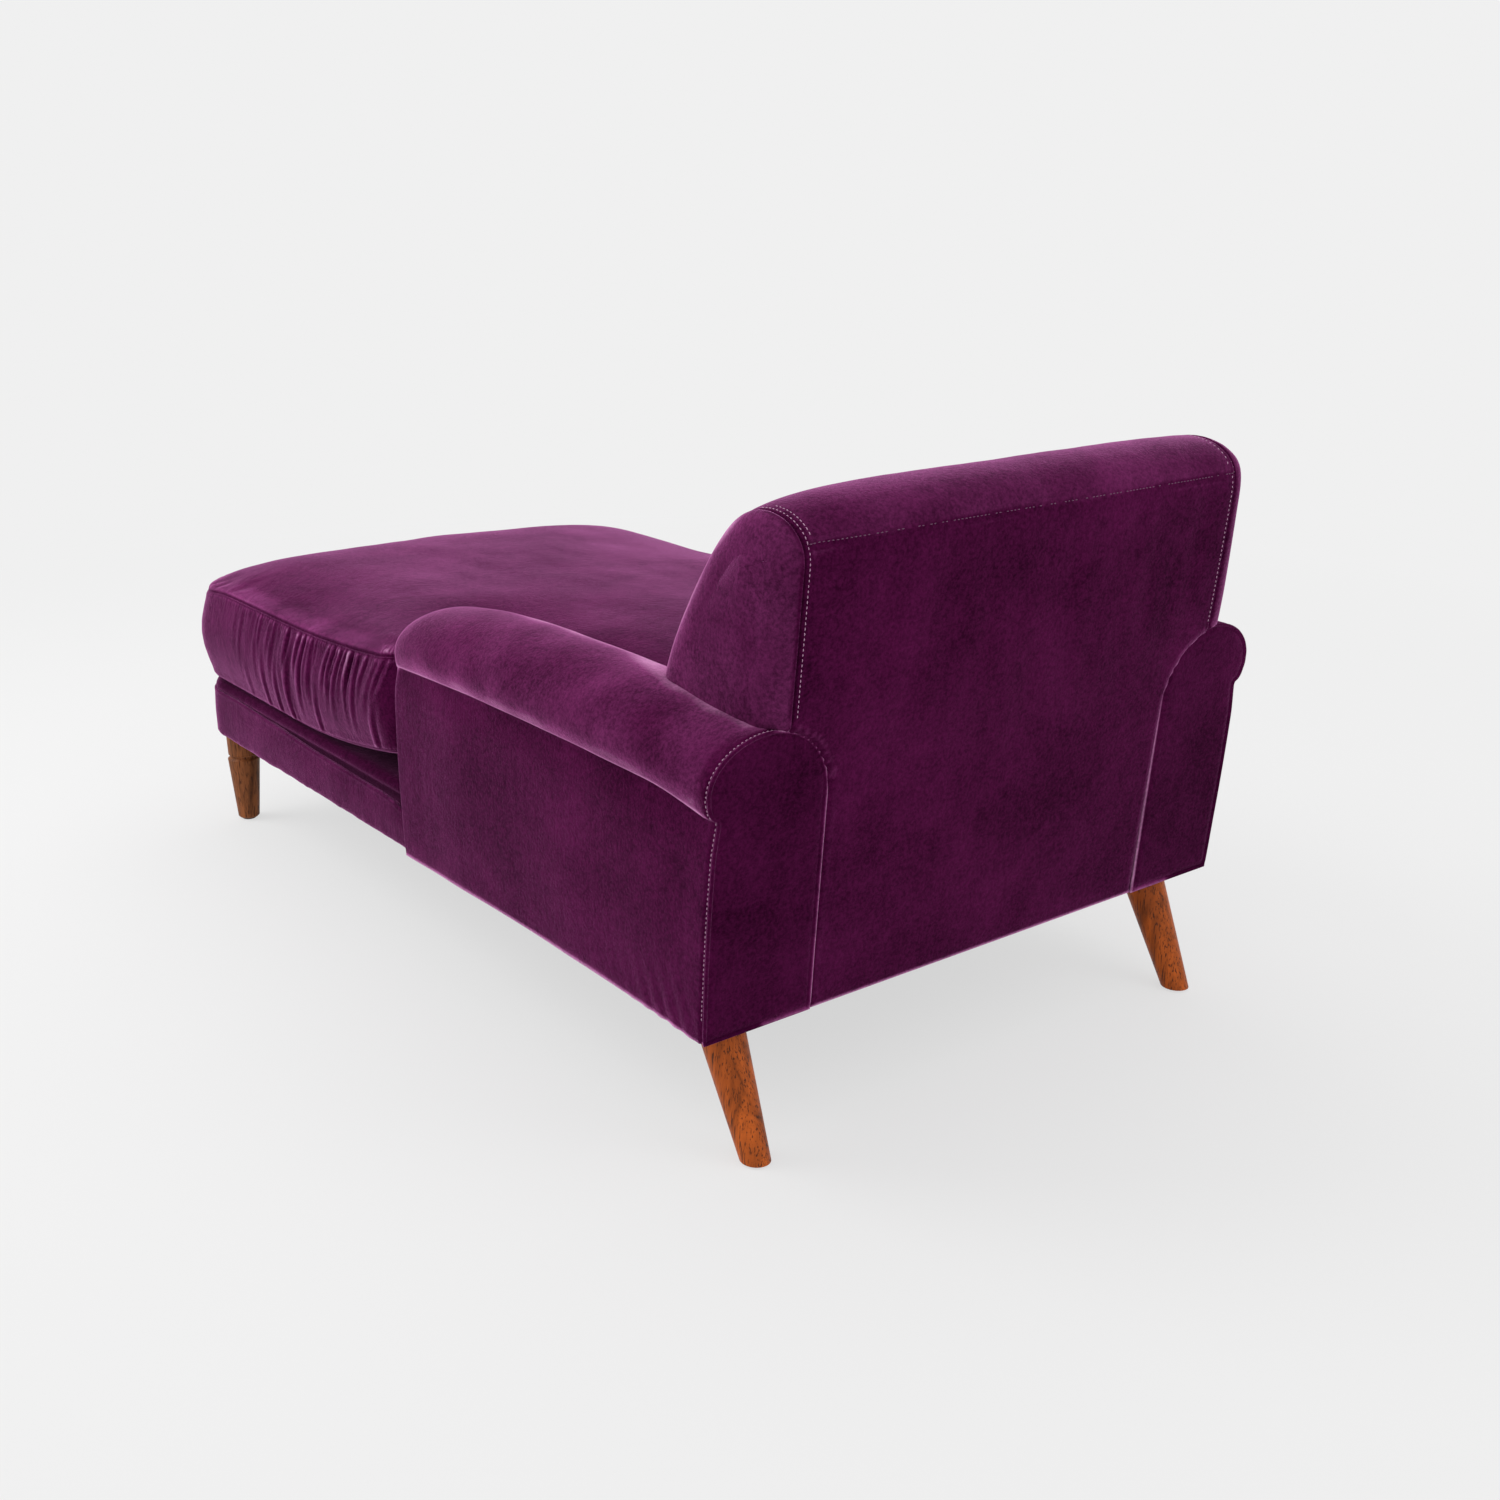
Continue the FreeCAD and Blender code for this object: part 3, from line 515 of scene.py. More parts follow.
@once
def cut_pile(name):
    """Cut pile cloth: dark face on and mottled by the nap, with painted sheen highlights and
    painted shade read from each piece's stored painted light.
    """
    look = settings()
    shader = Shader(name)
    plain = shader.place()
    streaks = shader.place(scale=(1.0, 1.0, 0.16))
    speck = shader.spread(shader.noise(plain, 220.0, 3.0, 0.75), 0.37, 0.63)
    parts = (
        (shader.spread(shader.noise(plain, 5.0, 4.0, 0.6, 0.4), 0.36, 0.66), 0.38),
        (shader.spread(shader.noise(streaks, 34.0, 4.0, 0.65), 0.34, 0.68), 0.08),
        (shader.spread(shader.noise(plain, 75.0, 4.0, 0.7), 0.36, 0.64), 0.16),
        (speck, 0.38),
    )
    nap = 0.0
    for part, amount in parts:
        nap = shader.math("ADD", nap, shader.math("MULTIPLY", part, amount))
    # Stored painted light: painted highlight above 0, painted shade below 0
    painted_light = shader.node("ShaderNodeAttribute", attribute_name="pile_wear").outputs["Fac"]
    # Painted highlight on edges, rims, rolls and gussets, broken up by the nap
    pale = shader.math("MULTIPLY", shader.spread(painted_light, 0.30, 1.7),
                       shader.spread(nap, 0.15, 0.85, 0.30, 1.0))
    # Paler painted glint where the painted highlight is strongest
    painted_glint = shader.math("MULTIPLY", shader.spread(painted_light, 0.9, 2.1),
                         shader.spread(nap, 0.2, 0.8, 0.5, 1.0))
    # Painted shade in valleys, on the deck under the cushion and along the lower hem
    deep = shader.math("MULTIPLY", shader.spread(painted_light, -0.1, -1.2), 0.75)
    colour = look.velvet_dark
    for share, tint in ((nap, look.velvet_mid), (pale, look.velvet_painted_highlight),
                        (painted_glint, look.velvet_painted_glint), (deep, look.velvet_painted_shade)):
        colour = shader.mix(share, colour, tint)
    normal = shader.bump(shader.noise(streaks, 60.0, 3.0, 0.6), 0.0012, 0.35)
    normal = shader.bump(speck, look.pile_depth, 0.35, Normal=normal)
    normal = shader.bump(shader.noise(plain, 1100.0, 2.0, 0.6), look.pile_depth, 0.5, Normal=normal)
    # The sheen is also weakened where painted shade is
    glow = shader.math("MULTIPLY", shader.spread(nap, 0.2, 0.8, 0.68, 1.0),
                       shader.spread(painted_light, -1.2, -0.1, 0.25, 1.0))
    shader.set(Base_Color=colour, Normal=normal, Roughness=shader.spread(nap, 0.0, 1.0, 0.95, 0.78),
               Sheen_Weight=glow, Sheen_Roughness=0.29, Sheen_Tint=look.sheen_tint,
               Specular_IOR_Level=0.0)
    return shader.material


def velvet():
    return cut_pile("plum_velvet")


@once
def wood(name, colour, turn_deg, dull):
    """Satin hardwood with the grain along the leg and short dark flecks."""
    shader = Shader(name)
    turn = (math.radians(turn_deg), 0.0, 0.0)
    along = shader.place(scale=(1.0, 1.0, 0.06), turn=turn)
    broad = shader.place(scale=(1.0, 1.0, 0.12), turn=turn)
    grain = shader.spread(shader.noise(along, 300.0, 3.0, 0.6, 0.6), 0.3, 0.7)
    band = shader.spread(shader.noise(broad, 45.0, 3.0, 0.55, 0.8), 0.32, 0.68)
    flecks = shader.spread(shader.noise(along, 520.0, 2.0, 0.5), 0.55, 0.64)
    base = shader.mix(band, [c * 0.40 for c in colour], [min(1.0, c * 1.5) for c in colour])
    base = shader.mix(shader.math("MULTIPLY", grain, 0.35), base, colour)
    base = shader.mix(shader.math("MULTIPLY", flecks, 0.85), base, settings().leg_fleck)
    shader.set(Base_Color=base, Roughness=shader.spread(grain, 0.0, 1.0, 0.36 + dull, 0.5 + dull),
               Normal=shader.bump(grain, 0.0004, 0.35), Specular_IOR_Level=0.14,
               Coat_Weight=max(0.0, 0.06 - dull), Coat_Roughness=0.3)
    return shader.material


@once
def thread_material(name, pale):
    """Twisted thread of the topstitching."""
    shader = Shader(name)
    twist = shader.noise(shader.place(), 1800.0, 1.0, 0.5)
    base = shader.mix(shader.spread(twist, 0.3, 0.7), [c * 0.72 for c in pale], pale)
    shader.set(Base_Color=base, Normal=shader.bump(twist, 0.0002, 0.5), Roughness=0.55,
               Specular_IOR_Level=0.3, Sheen_Weight=0.3, Sheen_Roughness=0.4)
    return shader.material


@once
def plain_material(name, colour, roughness, grain, depth, metal=0.0, stretch=(1.0, 1.0, 1.0)):
    """Finish of the inner pieces: one colour broken up by a grain or weave of the given scale."""
    shader = Shader(name)
    fine = shader.noise(shader.place(scale=stretch), grain, 4.0, 0.6)
    wide = shader.noise(shader.place(), grain * 0.05, 2.0, 0.5)
    tone = shader.math("ADD", shader.math("MULTIPLY", fine, 0.6),
                       shader.math("MULTIPLY", wide, 0.4))
    base = shader.mix(shader.spread(tone, 0.35, 0.65), [c * 0.7 for c in colour], colour)
    rough = shader.spread(fine, 0.3, 0.7, roughness - 0.08, min(1.0, roughness + 0.08))
    shader.set(Base_Color=base, Roughness=rough, Normal=shader.bump(fine, depth, 0.6),
               Metallic=metal, Specular_IOR_Level=0.3)
    return shader.material


# Arms

def rear_plane(z):
    """Depth of the leaning rear face at a height."""
    return REAR_Y + REAR_LEAN * (np.asarray(z) - UNDERSIDE_Z)


def arm_section(top, reach, neck):
    """Upright section of the left arm: flat sides, rolled top and a neck tucked in under it."""
    shoulder = neck + 0.006
    widest = neck + 0.34 * (top - neck)
    waist = ARM_OUTER_X - NECK_TUCK
    below = neck - 0.045
    inner = ARM_CREST_X - ARM_INNER_X
    loop = np.concatenate([
        line_points((ARM_INNER_X, UNDERSIDE_Z), (ARM_INNER_X, shoulder), 44),
        ellipse_points((ARM_CREST_X, shoulder), inner, top - shoulder, 180, 90, 26),
        ellipse_points((ARM_CREST_X, widest), reach - ARM_CREST_X, top - widest, 90, 0, 26),
        ellipse_points((waist, widest), reach - waist, widest - neck, 0, -90, 14),
        line_points((waist, neck), (ARM_OUTER_X, below), 10),
        line_points((ARM_OUTER_X, below), (ARM_OUTER_X, UNDERSIDE_Z), 40),
        line_points((ARM_OUTER_X, UNDERSIDE_Z), (ARM_INNER_X, UNDERSIDE_Z), 20),
    ])
    outside = (loop[:, 1] < neck - 0.01) & (loop[:, 0] > ARM_CREST_X)
    share = np.clip((neck - loop[outside, 1]) / (neck - UNDERSIDE_Z), 0.0, 1.0)
    loop[outside, 0] += SIDE_BELLY * np.sin(np.pi * share)
    return rounded(loop, 2, above=UNDERSIDE_Z + 0.004)


def arm_at(y):
    """Section of the arm at a distance along it."""
    along, *tables = np.array(ARM_STATIONS).T
    fine = np.linspace(0.0, along[-1], 80)
    return arm_section(*[np.interp(y, fine, softened(np.interp(fine, along, table), 12))
                         for table in tables])


def facing_rings(loop, spine, profile, steps, dome=0.0):
    """Rings from a rounded edge over a padded facing to its spine, as (x, z, how far out)."""
    inward = inward_2d(loop)
    target = nearest_on_segment(loop, *spine, joints=SPINE_JOINTS)
    rings = []
    for inset, out in profile:
        moved = loop + inward * np.asarray(inset).reshape(-1, 1)
        rings.append((clear_of_corners(loop, moved, inset), out))
    start, last = rings[-1]
    for share in np.arange(1, steps + 1) / steps:
        ring = start * (1.0 - share) + target * share
        level = last * (1.0 - share) + np.mean(last) * share
        rings.append((ring, level + dome * math.sin(0.5 * math.pi * share)))
    return rings


def clear_of_corners(loop, moved, inset):
    """Inset outline whose points keep their order round the square lower corners."""
    inset = np.broadcast_to(np.asarray(inset, float).ravel(), len(loop))
    foot = loop[:, 1] < UNDERSIDE_Z + 0.010
    low = loop[:, 1] < UNDERSIDE_Z + 0.10
    left, right = loop[foot, 0].min(), loop[foot, 0].max()
    kept = moved.copy()
    kept[foot, 0] = np.clip(loop[foot, 0], left + inset[foot], right - inset[foot])
    kept[low, 1] = np.maximum(loop[low, 1], UNDERSIDE_Z + inset[low])
    return kept


def arm_rings():
    """Rings of the left arm, from the middle of the front facing to the middle of the rear one."""
    front = arm_at(0.0)
    radius = 0.006 + 0.016 * ramp(front[:, 1], *NOSE_HEIGHTS)
    profile = [(radius * (1.0 - math.sin(turn)), radius * (math.cos(turn) - 1.0))
               for turn in np.linspace(math.radians(84.0), 0.0, 9)]
    rings = [upright(flat, -out - 0.004 * ramp(flat[:, 1], *NOSE_HEIGHTS))
             for flat, out in facing_rings(front, ARM_SPINE, profile, 16)]
    rings.reverse()
    for share in np.linspace(0.0, 1.0, 125):
        loop = arm_at(ARM_FRONT_Y + share * (0.775 - ARM_FRONT_Y))
        end = rear_plane(loop[:, 1]) - ARM_SEAM[0][0]
        rings.append(upright(loop, radius * (1.0 - share) + end * share))
    last = arm_at(ARM_REAR_Y)
    inward = inward_2d(last)
    for before, dip in ARM_SEAM[1:]:
        flat = last + inward * dip
        rings.append(upright(flat, rear_plane(flat[:, 1]) - before))
    for flat, out in facing_rings(last, ARM_SPINE, FACING_EDGE, 18):
        rings.append(upright(flat, rear_plane(flat[:, 1]) + out))
    return np.array(rings)


def arm_pleats(points):
    """Height of the small folds: at the neck near the rear end, and along the lower hem."""
    x, y, z = points.T
    outer = ramp(x, 0.440, 0.460)
    to_rear = rear_plane(z) - y
    neck = near(z, 0.490, 0.030) * outer
    tick = np.sin(2.0 * np.pi * (y + 0.5 * z) / 0.0105 + 2.0 * noise_at(points, 0.05, 3.0))
    folds = 0.0005 * tick * neck * near(to_rear, 0.024, 0.022)
    hem = ramp(z, 0.275, 0.185) * outer * near(to_rear, 0.07, 0.075) * ramp(to_rear, 0.004, 0.016)
    folds = folds + 0.0008 * hem * np.sin(2.0 * np.pi * (y + 0.35 * z) / 0.030)
    slack = 0.0016 * noise_at(points * np.array([1.0, 1.0, 0.45]), 0.11, 8.0)
    press = -0.0012 * ramp(z, 0.50, 0.56) * near(y, 0.585, 0.030)
    return folds + slack * ramp(to_rear, 0.0, 0.06) * ramp(y, 0.0, 0.06) + press


def rear_section():
    """Section of the left arm at its rear end."""
    return arm_section(*ARM_STATIONS[-1][1:])


def arm_painted_light(points):
    """Painted light of an arm, and how far it follows the relief.

    Highlight is painted over the roll, along its crest and underside, round the nose and along the
    rear rim, and shade on the rear facing.
    """
    x, y, z = np.abs(points[:, 0]), points[:, 1], points[:, 2]
    stations = np.array(ARM_STATIONS)
    neck = np.interp(y, stations[:, 0], stations[:, 3])
    to_rear = rear_plane(z) - y
    side = ramp(to_rear, 0.004, 0.030)
    roll = side * ramp(z, neck - 0.002, neck + 0.020)
    by_back = ramp(y, 0.44, 0.62)
    crest = near(x, ARM_CREST_X - 0.050 + 0.052 * by_back, 0.030 - 0.008 * by_back)
    crest = crest * (1.0 - 0.42 * by_back)
    patches = 0.9 + 0.35 * noise_at(points, 0.06, 14.0)
    body = 0.40 + 0.16 * ramp(y, 0.05, 0.35)
    under = side * (near(z, neck + 0.002, 0.0045) + 0.35 * near(z, neck + 0.010, 0.014))
    under = under * ramp(x, 0.446, 0.466)
    nose = near(y, 0.008, 0.007) * ramp(z, *NOSE_HEIGHTS)
    from_edge = depth_inside(np.column_stack([x, z]), rear_section())
    at_rear = ramp(to_rear, 0.008, 0.003)
    rim = near(from_edge, 0.0, 0.0035) * at_rear * ramp(x, ARM_CREST_X + 0.005, ARM_CREST_X - 0.020)
    # Painted shade on the rear facing
    facing = ramp(from_edge, 0.003, 0.012) * at_rear
    # Painted highlight over the roll, its inner crest and underside, the nose and the rear rim
    arm_painted_highlight = patches * (roll * (body + 1.5 * crest) + 1.6 * under)
    follow = (1.0 - 0.75 * roll) * (1.0 - 0.45 * ramp(to_rear, 0.030, 0.010))
    return arm_painted_highlight + 1.2 * nose + 1.5 * rim - 0.35 * facing, follow


def hem_sag(points):
    """How an arm's lower edge hangs: up a little in its middle, down at the rear corner."""
    return ramp(points[:, 2], *HEM_HEIGHTS) * np.interp(points[:, 1], *ARM_HEM)


class CHAISE_OT_arms(bpy.types.Operator):
    """Pad and cover the two rolled arms, with their front and rear facings"""
    bl_idname = "chaise.arms"
    bl_label = "Arms"

    def execute(self, context):
        rings = arm_rings()
        for name, side in SIDES:
            piece = rings_piece("arm_covering_" + name, rings)
            push(piece, arm_pleats(points_of(piece)))
            points = points_of(piece)
            points[:, 2] += hem_sag(points)
            set_points(piece, points * np.array([side, 1.0, 1.0]))
            edit(piece)
            # Painted highlight and shade of the arm cover
            extra, follow = arm_painted_light(points_of(piece))
            paint_pile_light(piece, extra=extra, follow=follow)
            nodes = [part + name for part in ("arm_cover_", "arm_pad_", "arm_front_facing_",
                                              "arm_rear_facing_")]
            dress(piece, "frame", velvet(), nodes)
        return {"FINISHED"}


# Backrest

def back_outline():
    """Closed side outline of the backrest at its gusset seam as (y, z), rear face first."""
    low = (REAR_Y, UNDERSIDE_Z)
    rear = line_points(low, BACK_OUTLINE[0], 92)
    over = even_path(softened(even_path(BACK_OUTLINE, 0.002), 30), 0.0055)
    front = line_points(over[-1], BACK_SEAT, 14)
    seat = line_points(BACK_SEAT, BACK_HEM[0], 26)
    hem = line_points(BACK_HEM[0], BACK_HEM[1], 8)
    below = line_points(BACK_HEM[1], low, 18)
    loop = np.concatenate([rear, over[:-1], front, seat, hem, below])
    return rounded(loop, 2, above=UNDERSIDE_Z + 0.004)


def back_section(loop, grow, inset=0.0):
    """The outline grown about its seam (the rear least) and drawn in by an inset."""
    inward = inward_2d(loop)
    share = softened(np.where(inward[:, 0] < -0.9, 0.35, 1.0), 8)
    above = ramp(loop[:, 1], 0.45, 0.62)
    return loop - inward * (grow * share * above)[:, None] + inward * inset


def gusset_rings(loop, name):
    """Rings of one padded side from its seam to its middle, as ((y, z), how far out in x)."""
    high, low, tuck, lift = BACK_GUSSETS[name]
    bulge = high + (low - high) * ramp(loop[:, 1], 0.80, 0.60)
    profile = [(0.0026, 0.0006 * np.ones(len(loop)))]
    for turn in np.radians([4, 9, 16, 24, 33, 42, 51, 60, 68, 76, 83, 90]):
        profile.append((tuck * (1.0 - math.cos(turn)), bulge * math.sin(turn)))
    return [(flat, BACK_SEAM_X + out) for flat, out in
            facing_rings(back_section(loop, lift), BACK_SPINE, profile, 18, 0.004)]


def back_rings():
    """Rings of the backrest, from the middle of its left gusset to the middle of the right one."""
    loop = back_outline()
    rings = [np.column_stack([x, flat]) for flat, x in reversed(gusset_rings(loop, "left"))]
    offsets = np.array(BACK_VALLEY[0])
    inner = np.linspace(BACK_SEAM_X - 0.022, -BACK_SEAM_X + 0.022, 112)
    for x in np.concatenate([BACK_SEAM_X - offsets, inner, -BACK_SEAM_X + offsets[::-1]]):
        share = (abs(x) / BACK_SEAM_X) ** 6
        lift = BACK_GUSSETS["left" if x > 0.0 else "right"][3]
        grow = BACK_CROWN * (1.0 - share) + lift * share
        flat = back_section(loop, grow, np.interp(BACK_SEAM_X - abs(x), *BACK_VALLEY))
        rings.append(np.column_stack([np.full(len(flat), x), flat]))
    rings += [np.column_stack([-x, flat]) for flat, x in gusset_rings(loop, "right")]
    return np.array(rings)


def back_painted_light(points):
    """Painted light of the backrest, and how far it follows the relief.

    Highlight is painted on the gussets, along their front edge and on the rolled top, and shade
    along the gusset seams.
    """
    x, y, z = np.abs(points[:, 0]), points[:, 1], points[:, 2]
    gusset = ramp(x, BACK_SEAM_X + 0.001, BACK_SEAM_X + 0.010)
    edge = depth_inside(points[:, 1:], back_outline())
    front = near(edge, 0.004, 0.011) * ramp(y, 0.735, 0.690)
    front = front * ramp(x, BACK_SEAM_X - 0.004, BACK_SEAM_X)
    patches = 0.9 + 0.3 * noise_at(points, 0.07, 15.0)
    top = ramp(z, CROSS_SEAM_Z, CROSS_SEAM_Z + 0.014) * ramp(BACK_SEAM_X - x, 0.002, 0.012)
    seam = near(x, BACK_SEAM_X, 0.0045) * ramp(y, 0.73, 0.76)
    section = rear_section()
    wider = section - 0.008 * inward_2d(section)
    by_arm = ramp(depth_inside(np.column_stack([x, z]), wider), 0.0, 0.004)
    follow = (1.0 - 0.85 * np.maximum(gusset, top)) * (1.0 - 0.75 * by_arm)
    # Painted highlight on gussets, front edges and rolled top; painted shade along the gusset seam
    return patches * (0.64 * gusset + 0.9 * front + 0.46 * top) - 0.5 * seam, follow


def cross_seam_groove(points):
    """Valley of the seam across the rear of the backrest, with small puckers beside it."""
    x, y, z = points.T
    rear = ramp(y, 0.78, 0.80) * ramp(BACK_SEAM_X - np.abs(x), 0.0, 0.006)
    dist = z - (CROSS_SEAM_Z + 0.0015 * np.sin(x * 17.0))
    pucker = np.sin(2.0 * np.pi * x / 0.011 + 3.0 * noise_at(points, 0.06, 5.0))
    valley = -0.0010 * near(dist, 0.0, 0.0022) + 0.0003 * near(np.abs(dist), 0.006, 0.004)
    return rear * (valley + 0.00012 * pucker * near(dist, 0.0, 0.012))


def back_slack(points):
    """Soft waves of the backrest's cover, calmer over its rolled top."""
    x, _, z = points.T
    upper = points * np.array([1.0, 1.0, 0.35])
    inside = ramp(BACK_SEAM_X - np.abs(x), -0.012, 0.03)
    wave = 0.0016 * noise_at(upper, 0.09, 2.0) + 0.0009 * noise_at(upper, 0.035, 4.0)
    calm = 1.0 - 0.6 * ramp(z, 0.74, 0.78)
    return wave * (0.35 + 0.65 * inside) * ramp(z, 0.42, 0.55) * calm


def tucked_behind_arms(points):
    """The rear panel passes in behind the arms' rear facings along their arches."""
    depth = depth_inside(np.column_stack([np.abs(points[:, 0]), points[:, 2]]), rear_section())
    at_rear = ramp(points[:, 1] - rear_plane(points[:, 2]), -0.030, -0.010)
    moved = points.copy()
    moved[:, 1] -= at_rear * 0.016 * ramp(depth, -0.002, 0.008)
    return moved


class CHAISE_OT_backrest(bpy.types.Operator):
    """Pad and cover the backrest: rear panel, rolled top, inside back and side gussets"""
    bl_idname = "chaise.backrest"
    bl_label = "Backrest"

    def execute(self, context):
        piece = rings_piece("back_covering", back_rings())
        push(piece, cross_seam_groove(points_of(piece)) + back_slack(points_of(piece)))
        points = tucked_behind_arms(points_of(piece))
        hem = ramp(points[:, 2], *HEM_HEIGHTS) * ramp(points[:, 1], 0.60, 0.70)
        points[:, 2] -= BACK_HEM_DROP * hem
        set_points(piece, points)
        # Painted highlight and shade of the backrest cover
        extra, follow = back_painted_light(points)
        paint_pile_light(piece, extra=extra, follow=follow)
        nodes = ("back_rear_cover", "back_front_cover", "back_gusset_left", "back_gusset_right",
                 "back_pad", "rear_rail_padding")
        dress(piece, "frame", velvet(), nodes)
        return {"FINISHED"}


# Base band and deck

def base_path(rear_y):
    """Plan path of the foot end, from the right arm round the foot to the left arm."""
    centre_x, centre_y = BASE_HALF - BASE_CORNER, BASE_FOOT_Y + BASE_CORNER
    return even_path(np.concatenate([
        [[-BASE_HALF, rear_y]],
        ellipse_points((-centre_x, centre_y), BASE_CORNER, BASE_CORNER, 180, 270, 24),
        ellipse_points((centre_x, centre_y), BASE_CORNER, BASE_CORNER, 270, 360, 24),
        [[BASE_HALF, centre_y], [BASE_HALF, rear_y]],
    ]), 0.007)


def outward_along(path):
    """Unit normals on the right-hand side of a plan path."""
    tangent = np.gradient(path, axis=0)
    return unit(np.column_stack([tangent[:, 1], -tangent[:, 0]]))


def band_profile():
    """Closed section of the base band as (how far out, height), from its lower outer edge."""
    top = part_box("base_band_cover")[1].z + 0.005
    low = UNDERSIDE_Z
    face = [(0.0012 * math.sin(math.pi * t), low + 0.005 + (top - low - 0.014) * t)
            for t in np.linspace(0.0, 1.0, 15)]
    ridge = [(-0.0002, top - 0.006), (0.0002, top - 0.0035), (-0.0006, top - 0.0012),
             (-0.0022, top), (-0.0042, top - 0.0006), (-0.0060, top - 0.0022),
             (-0.0085, top - 0.0010)]
    inner = [(-BAND_THICK, top), (-BAND_THICK, (top + low) / 2), (-BAND_THICK, low + 0.001)]
    under = [(-0.008, low), (-0.004, low), (-0.0015, low + 0.0015)]
    return np.array(face + ridge + inner + under)


class CHAISE_OT_base(bpy.types.Operator):
    """Upholster the base round its foot end, and cover the deck that carries the cushion"""
    bl_idname = "chaise.base"
    bl_label = "Base and deck"

    def execute(self, context):
        path = base_path(0.012)
        profile = band_profile()
        share = ramp(profile[:, 1], UNDERSIDE_Z + 0.01, profile[:, 1].max())
        rings = []
        for point, way in zip(path, outward_along(path)):
            z = profile[:, 1] - share * np.interp(point[1], *BAND_FALL)
            rings.append(np.column_stack([point + way * profile[:, :1], z]))
        first, last = [np.tile(rings[k].mean(axis=0), (len(profile), 1)) for k in (0, -1)]
        piece = rings_piece("base_band", [first, *rings, last])
        push(piece, self.slack(points_of(piece)))
        # Painted highlight on the band's rounded edges and painted shade in its creases
        paint_pile_light(piece)
        nodes = ("base_band_cover", "base_band_padding")
        dress(piece, "frame", velvet(), nodes)
        self.deck()
        return {"FINISHED"}

    def slack(self, points):
        """Soft waves of the band, and the gathers that ease the cloth round the foot corners."""
        x, y, z = points.T
        corner = ramp(np.abs(x), 0.36, 0.42) * ramp(y, -0.72, -0.76)
        height = ramp(z, UNDERSIDE_Z + 0.03, UNDERSIDE_Z) + 0.5 * ramp(z, 0.225, 0.250)
        turn = np.arctan2(y + 0.73, np.abs(x) - 0.36)
        tick = np.sin(turn * 34.0 + 2.0 * noise_at(points, 0.05, 9.0))
        hem = 0.0010 * ramp(z, UNDERSIDE_Z + 0.03, UNDERSIDE_Z) * noise_at(points, 0.02, 6.0)
        return 0.0006 * corner * height * tick + 0.0016 * noise_at(points, 0.10, 11.0) + hem

    def deck(self):
        """Deck pad with its velvet cover: T-shaped, eased over its edge and sewn to the band."""
        outline = tee_outline(BASE_HALF, ARM_INNER_X - 0.002, BASE_FOOT_Y, -0.001,
                              DECK_REAR_Y, (BASE_CORNER, 0.008, 0.006, 0.008))
        inward = inward_2d(outline)
        target = tee_spine(outline)
        rings = [at_height(target, DECK_LOW)]
        for inset, z in ((0.022, DECK_LOW), (0.020, 0.222), (DECK_INSET + 0.004, 0.222),
                         (DECK_INSET + 0.004, 0.240), (DECK_INSET + 0.004, 0.256)):
            rings.append(at_height(outline + inward * inset, z))
        for turn in np.radians(np.linspace(0.0, 90.0, 9)):
            edge = outline + inward * (DECK_INSET + DECK_ROUND * (1.0 - math.cos(turn)))
            rings.append(at_height(edge, DECK_TOP - DECK_ROUND + DECK_ROUND * math.sin(turn)))
        for share in np.linspace(0.0, 1.0, 60)[1:]:
            rings.append(at_height(edge * (1.0 - share) + target * share, DECK_TOP))
        piece = rings_piece("deck_covering", rings)
        points = points_of(piece)
        top = ramp(points[:, 2], DECK_TOP - 0.004, DECK_TOP)
        points[:, 2] += top * (0.0012 * noise_at(points, 0.12, 12.0) - 0.001)
        set_points(piece, points)
        # Painted shadow of the cushion over the deck
        paint_pile_light(piece, extra=DECK_PAINTED_SHADOW)
        dress(piece, "frame", velvet(), ("deck_cover", "deck_pad"))


def tee_outline(half, neck, foot, shoulder, rear, radii):
    """T-shaped plan outline, from its right foot corner anticlockwise round to itself."""
    foot_r, shoulder_r, inner_r, rear_r = radii
    inner_y, rear_y = shoulder + inner_r, rear - rear_r
    corners = (
        (-half + foot_r, foot + foot_r, foot_r, 180, 270, 16),
        (half - foot_r, foot + foot_r, foot_r, 270, 360, 16),
        (half - shoulder_r, shoulder - shoulder_r, shoulder_r, 0, 90, 12),
        (neck + inner_r, inner_y, inner_r, 270, 180, 5),
        (neck - rear_r, rear_y, rear_r, 0, 90, 12),
        (-neck + rear_r, rear_y, rear_r, 90, 180, 12),
        (-neck - inner_r, inner_y, inner_r, 0, -90, 5),
        (-half + shoulder_r, shoulder - shoulder_r, shoulder_r, 90, 180, 12),
    )
    loop = np.concatenate([ellipse_points((x, y), radius, radius, *turns)
                           for x, y, radius, *turns in corners])
    return even_path(np.vstack([loop, loop[:1]]), 0.0085)[:-1]


def tee_spine(outline):
    """Point on the centre line that each outline point runs in to, spread evenly along it."""
    y = outline[:, 1]
    low, high = y.min(), y.max()
    runs = np.linalg.norm(np.roll(outline, -1, axis=0) - outline, axis=1)
    foot = int(np.argmin(np.abs(outline[:, 0]) + (y - low) * 10.0))
    along = np.roll(np.concatenate([[0.0], np.cumsum(np.roll(runs, -foot))[:-1]]), foot)
    share = 1.0 - np.abs(along / (runs.sum() / 2.0) - 1.0)
    share = np.clip((share - 0.16) / 0.72, 0.0, 1.0)
    share = np.round(share * 4.0 * SPINE_JOINTS) / (4.0 * SPINE_JOINTS)
    return np.column_stack([np.zeros(len(y)), low + 0.35 + (high - low - 0.60) * share])


# Seat cushion


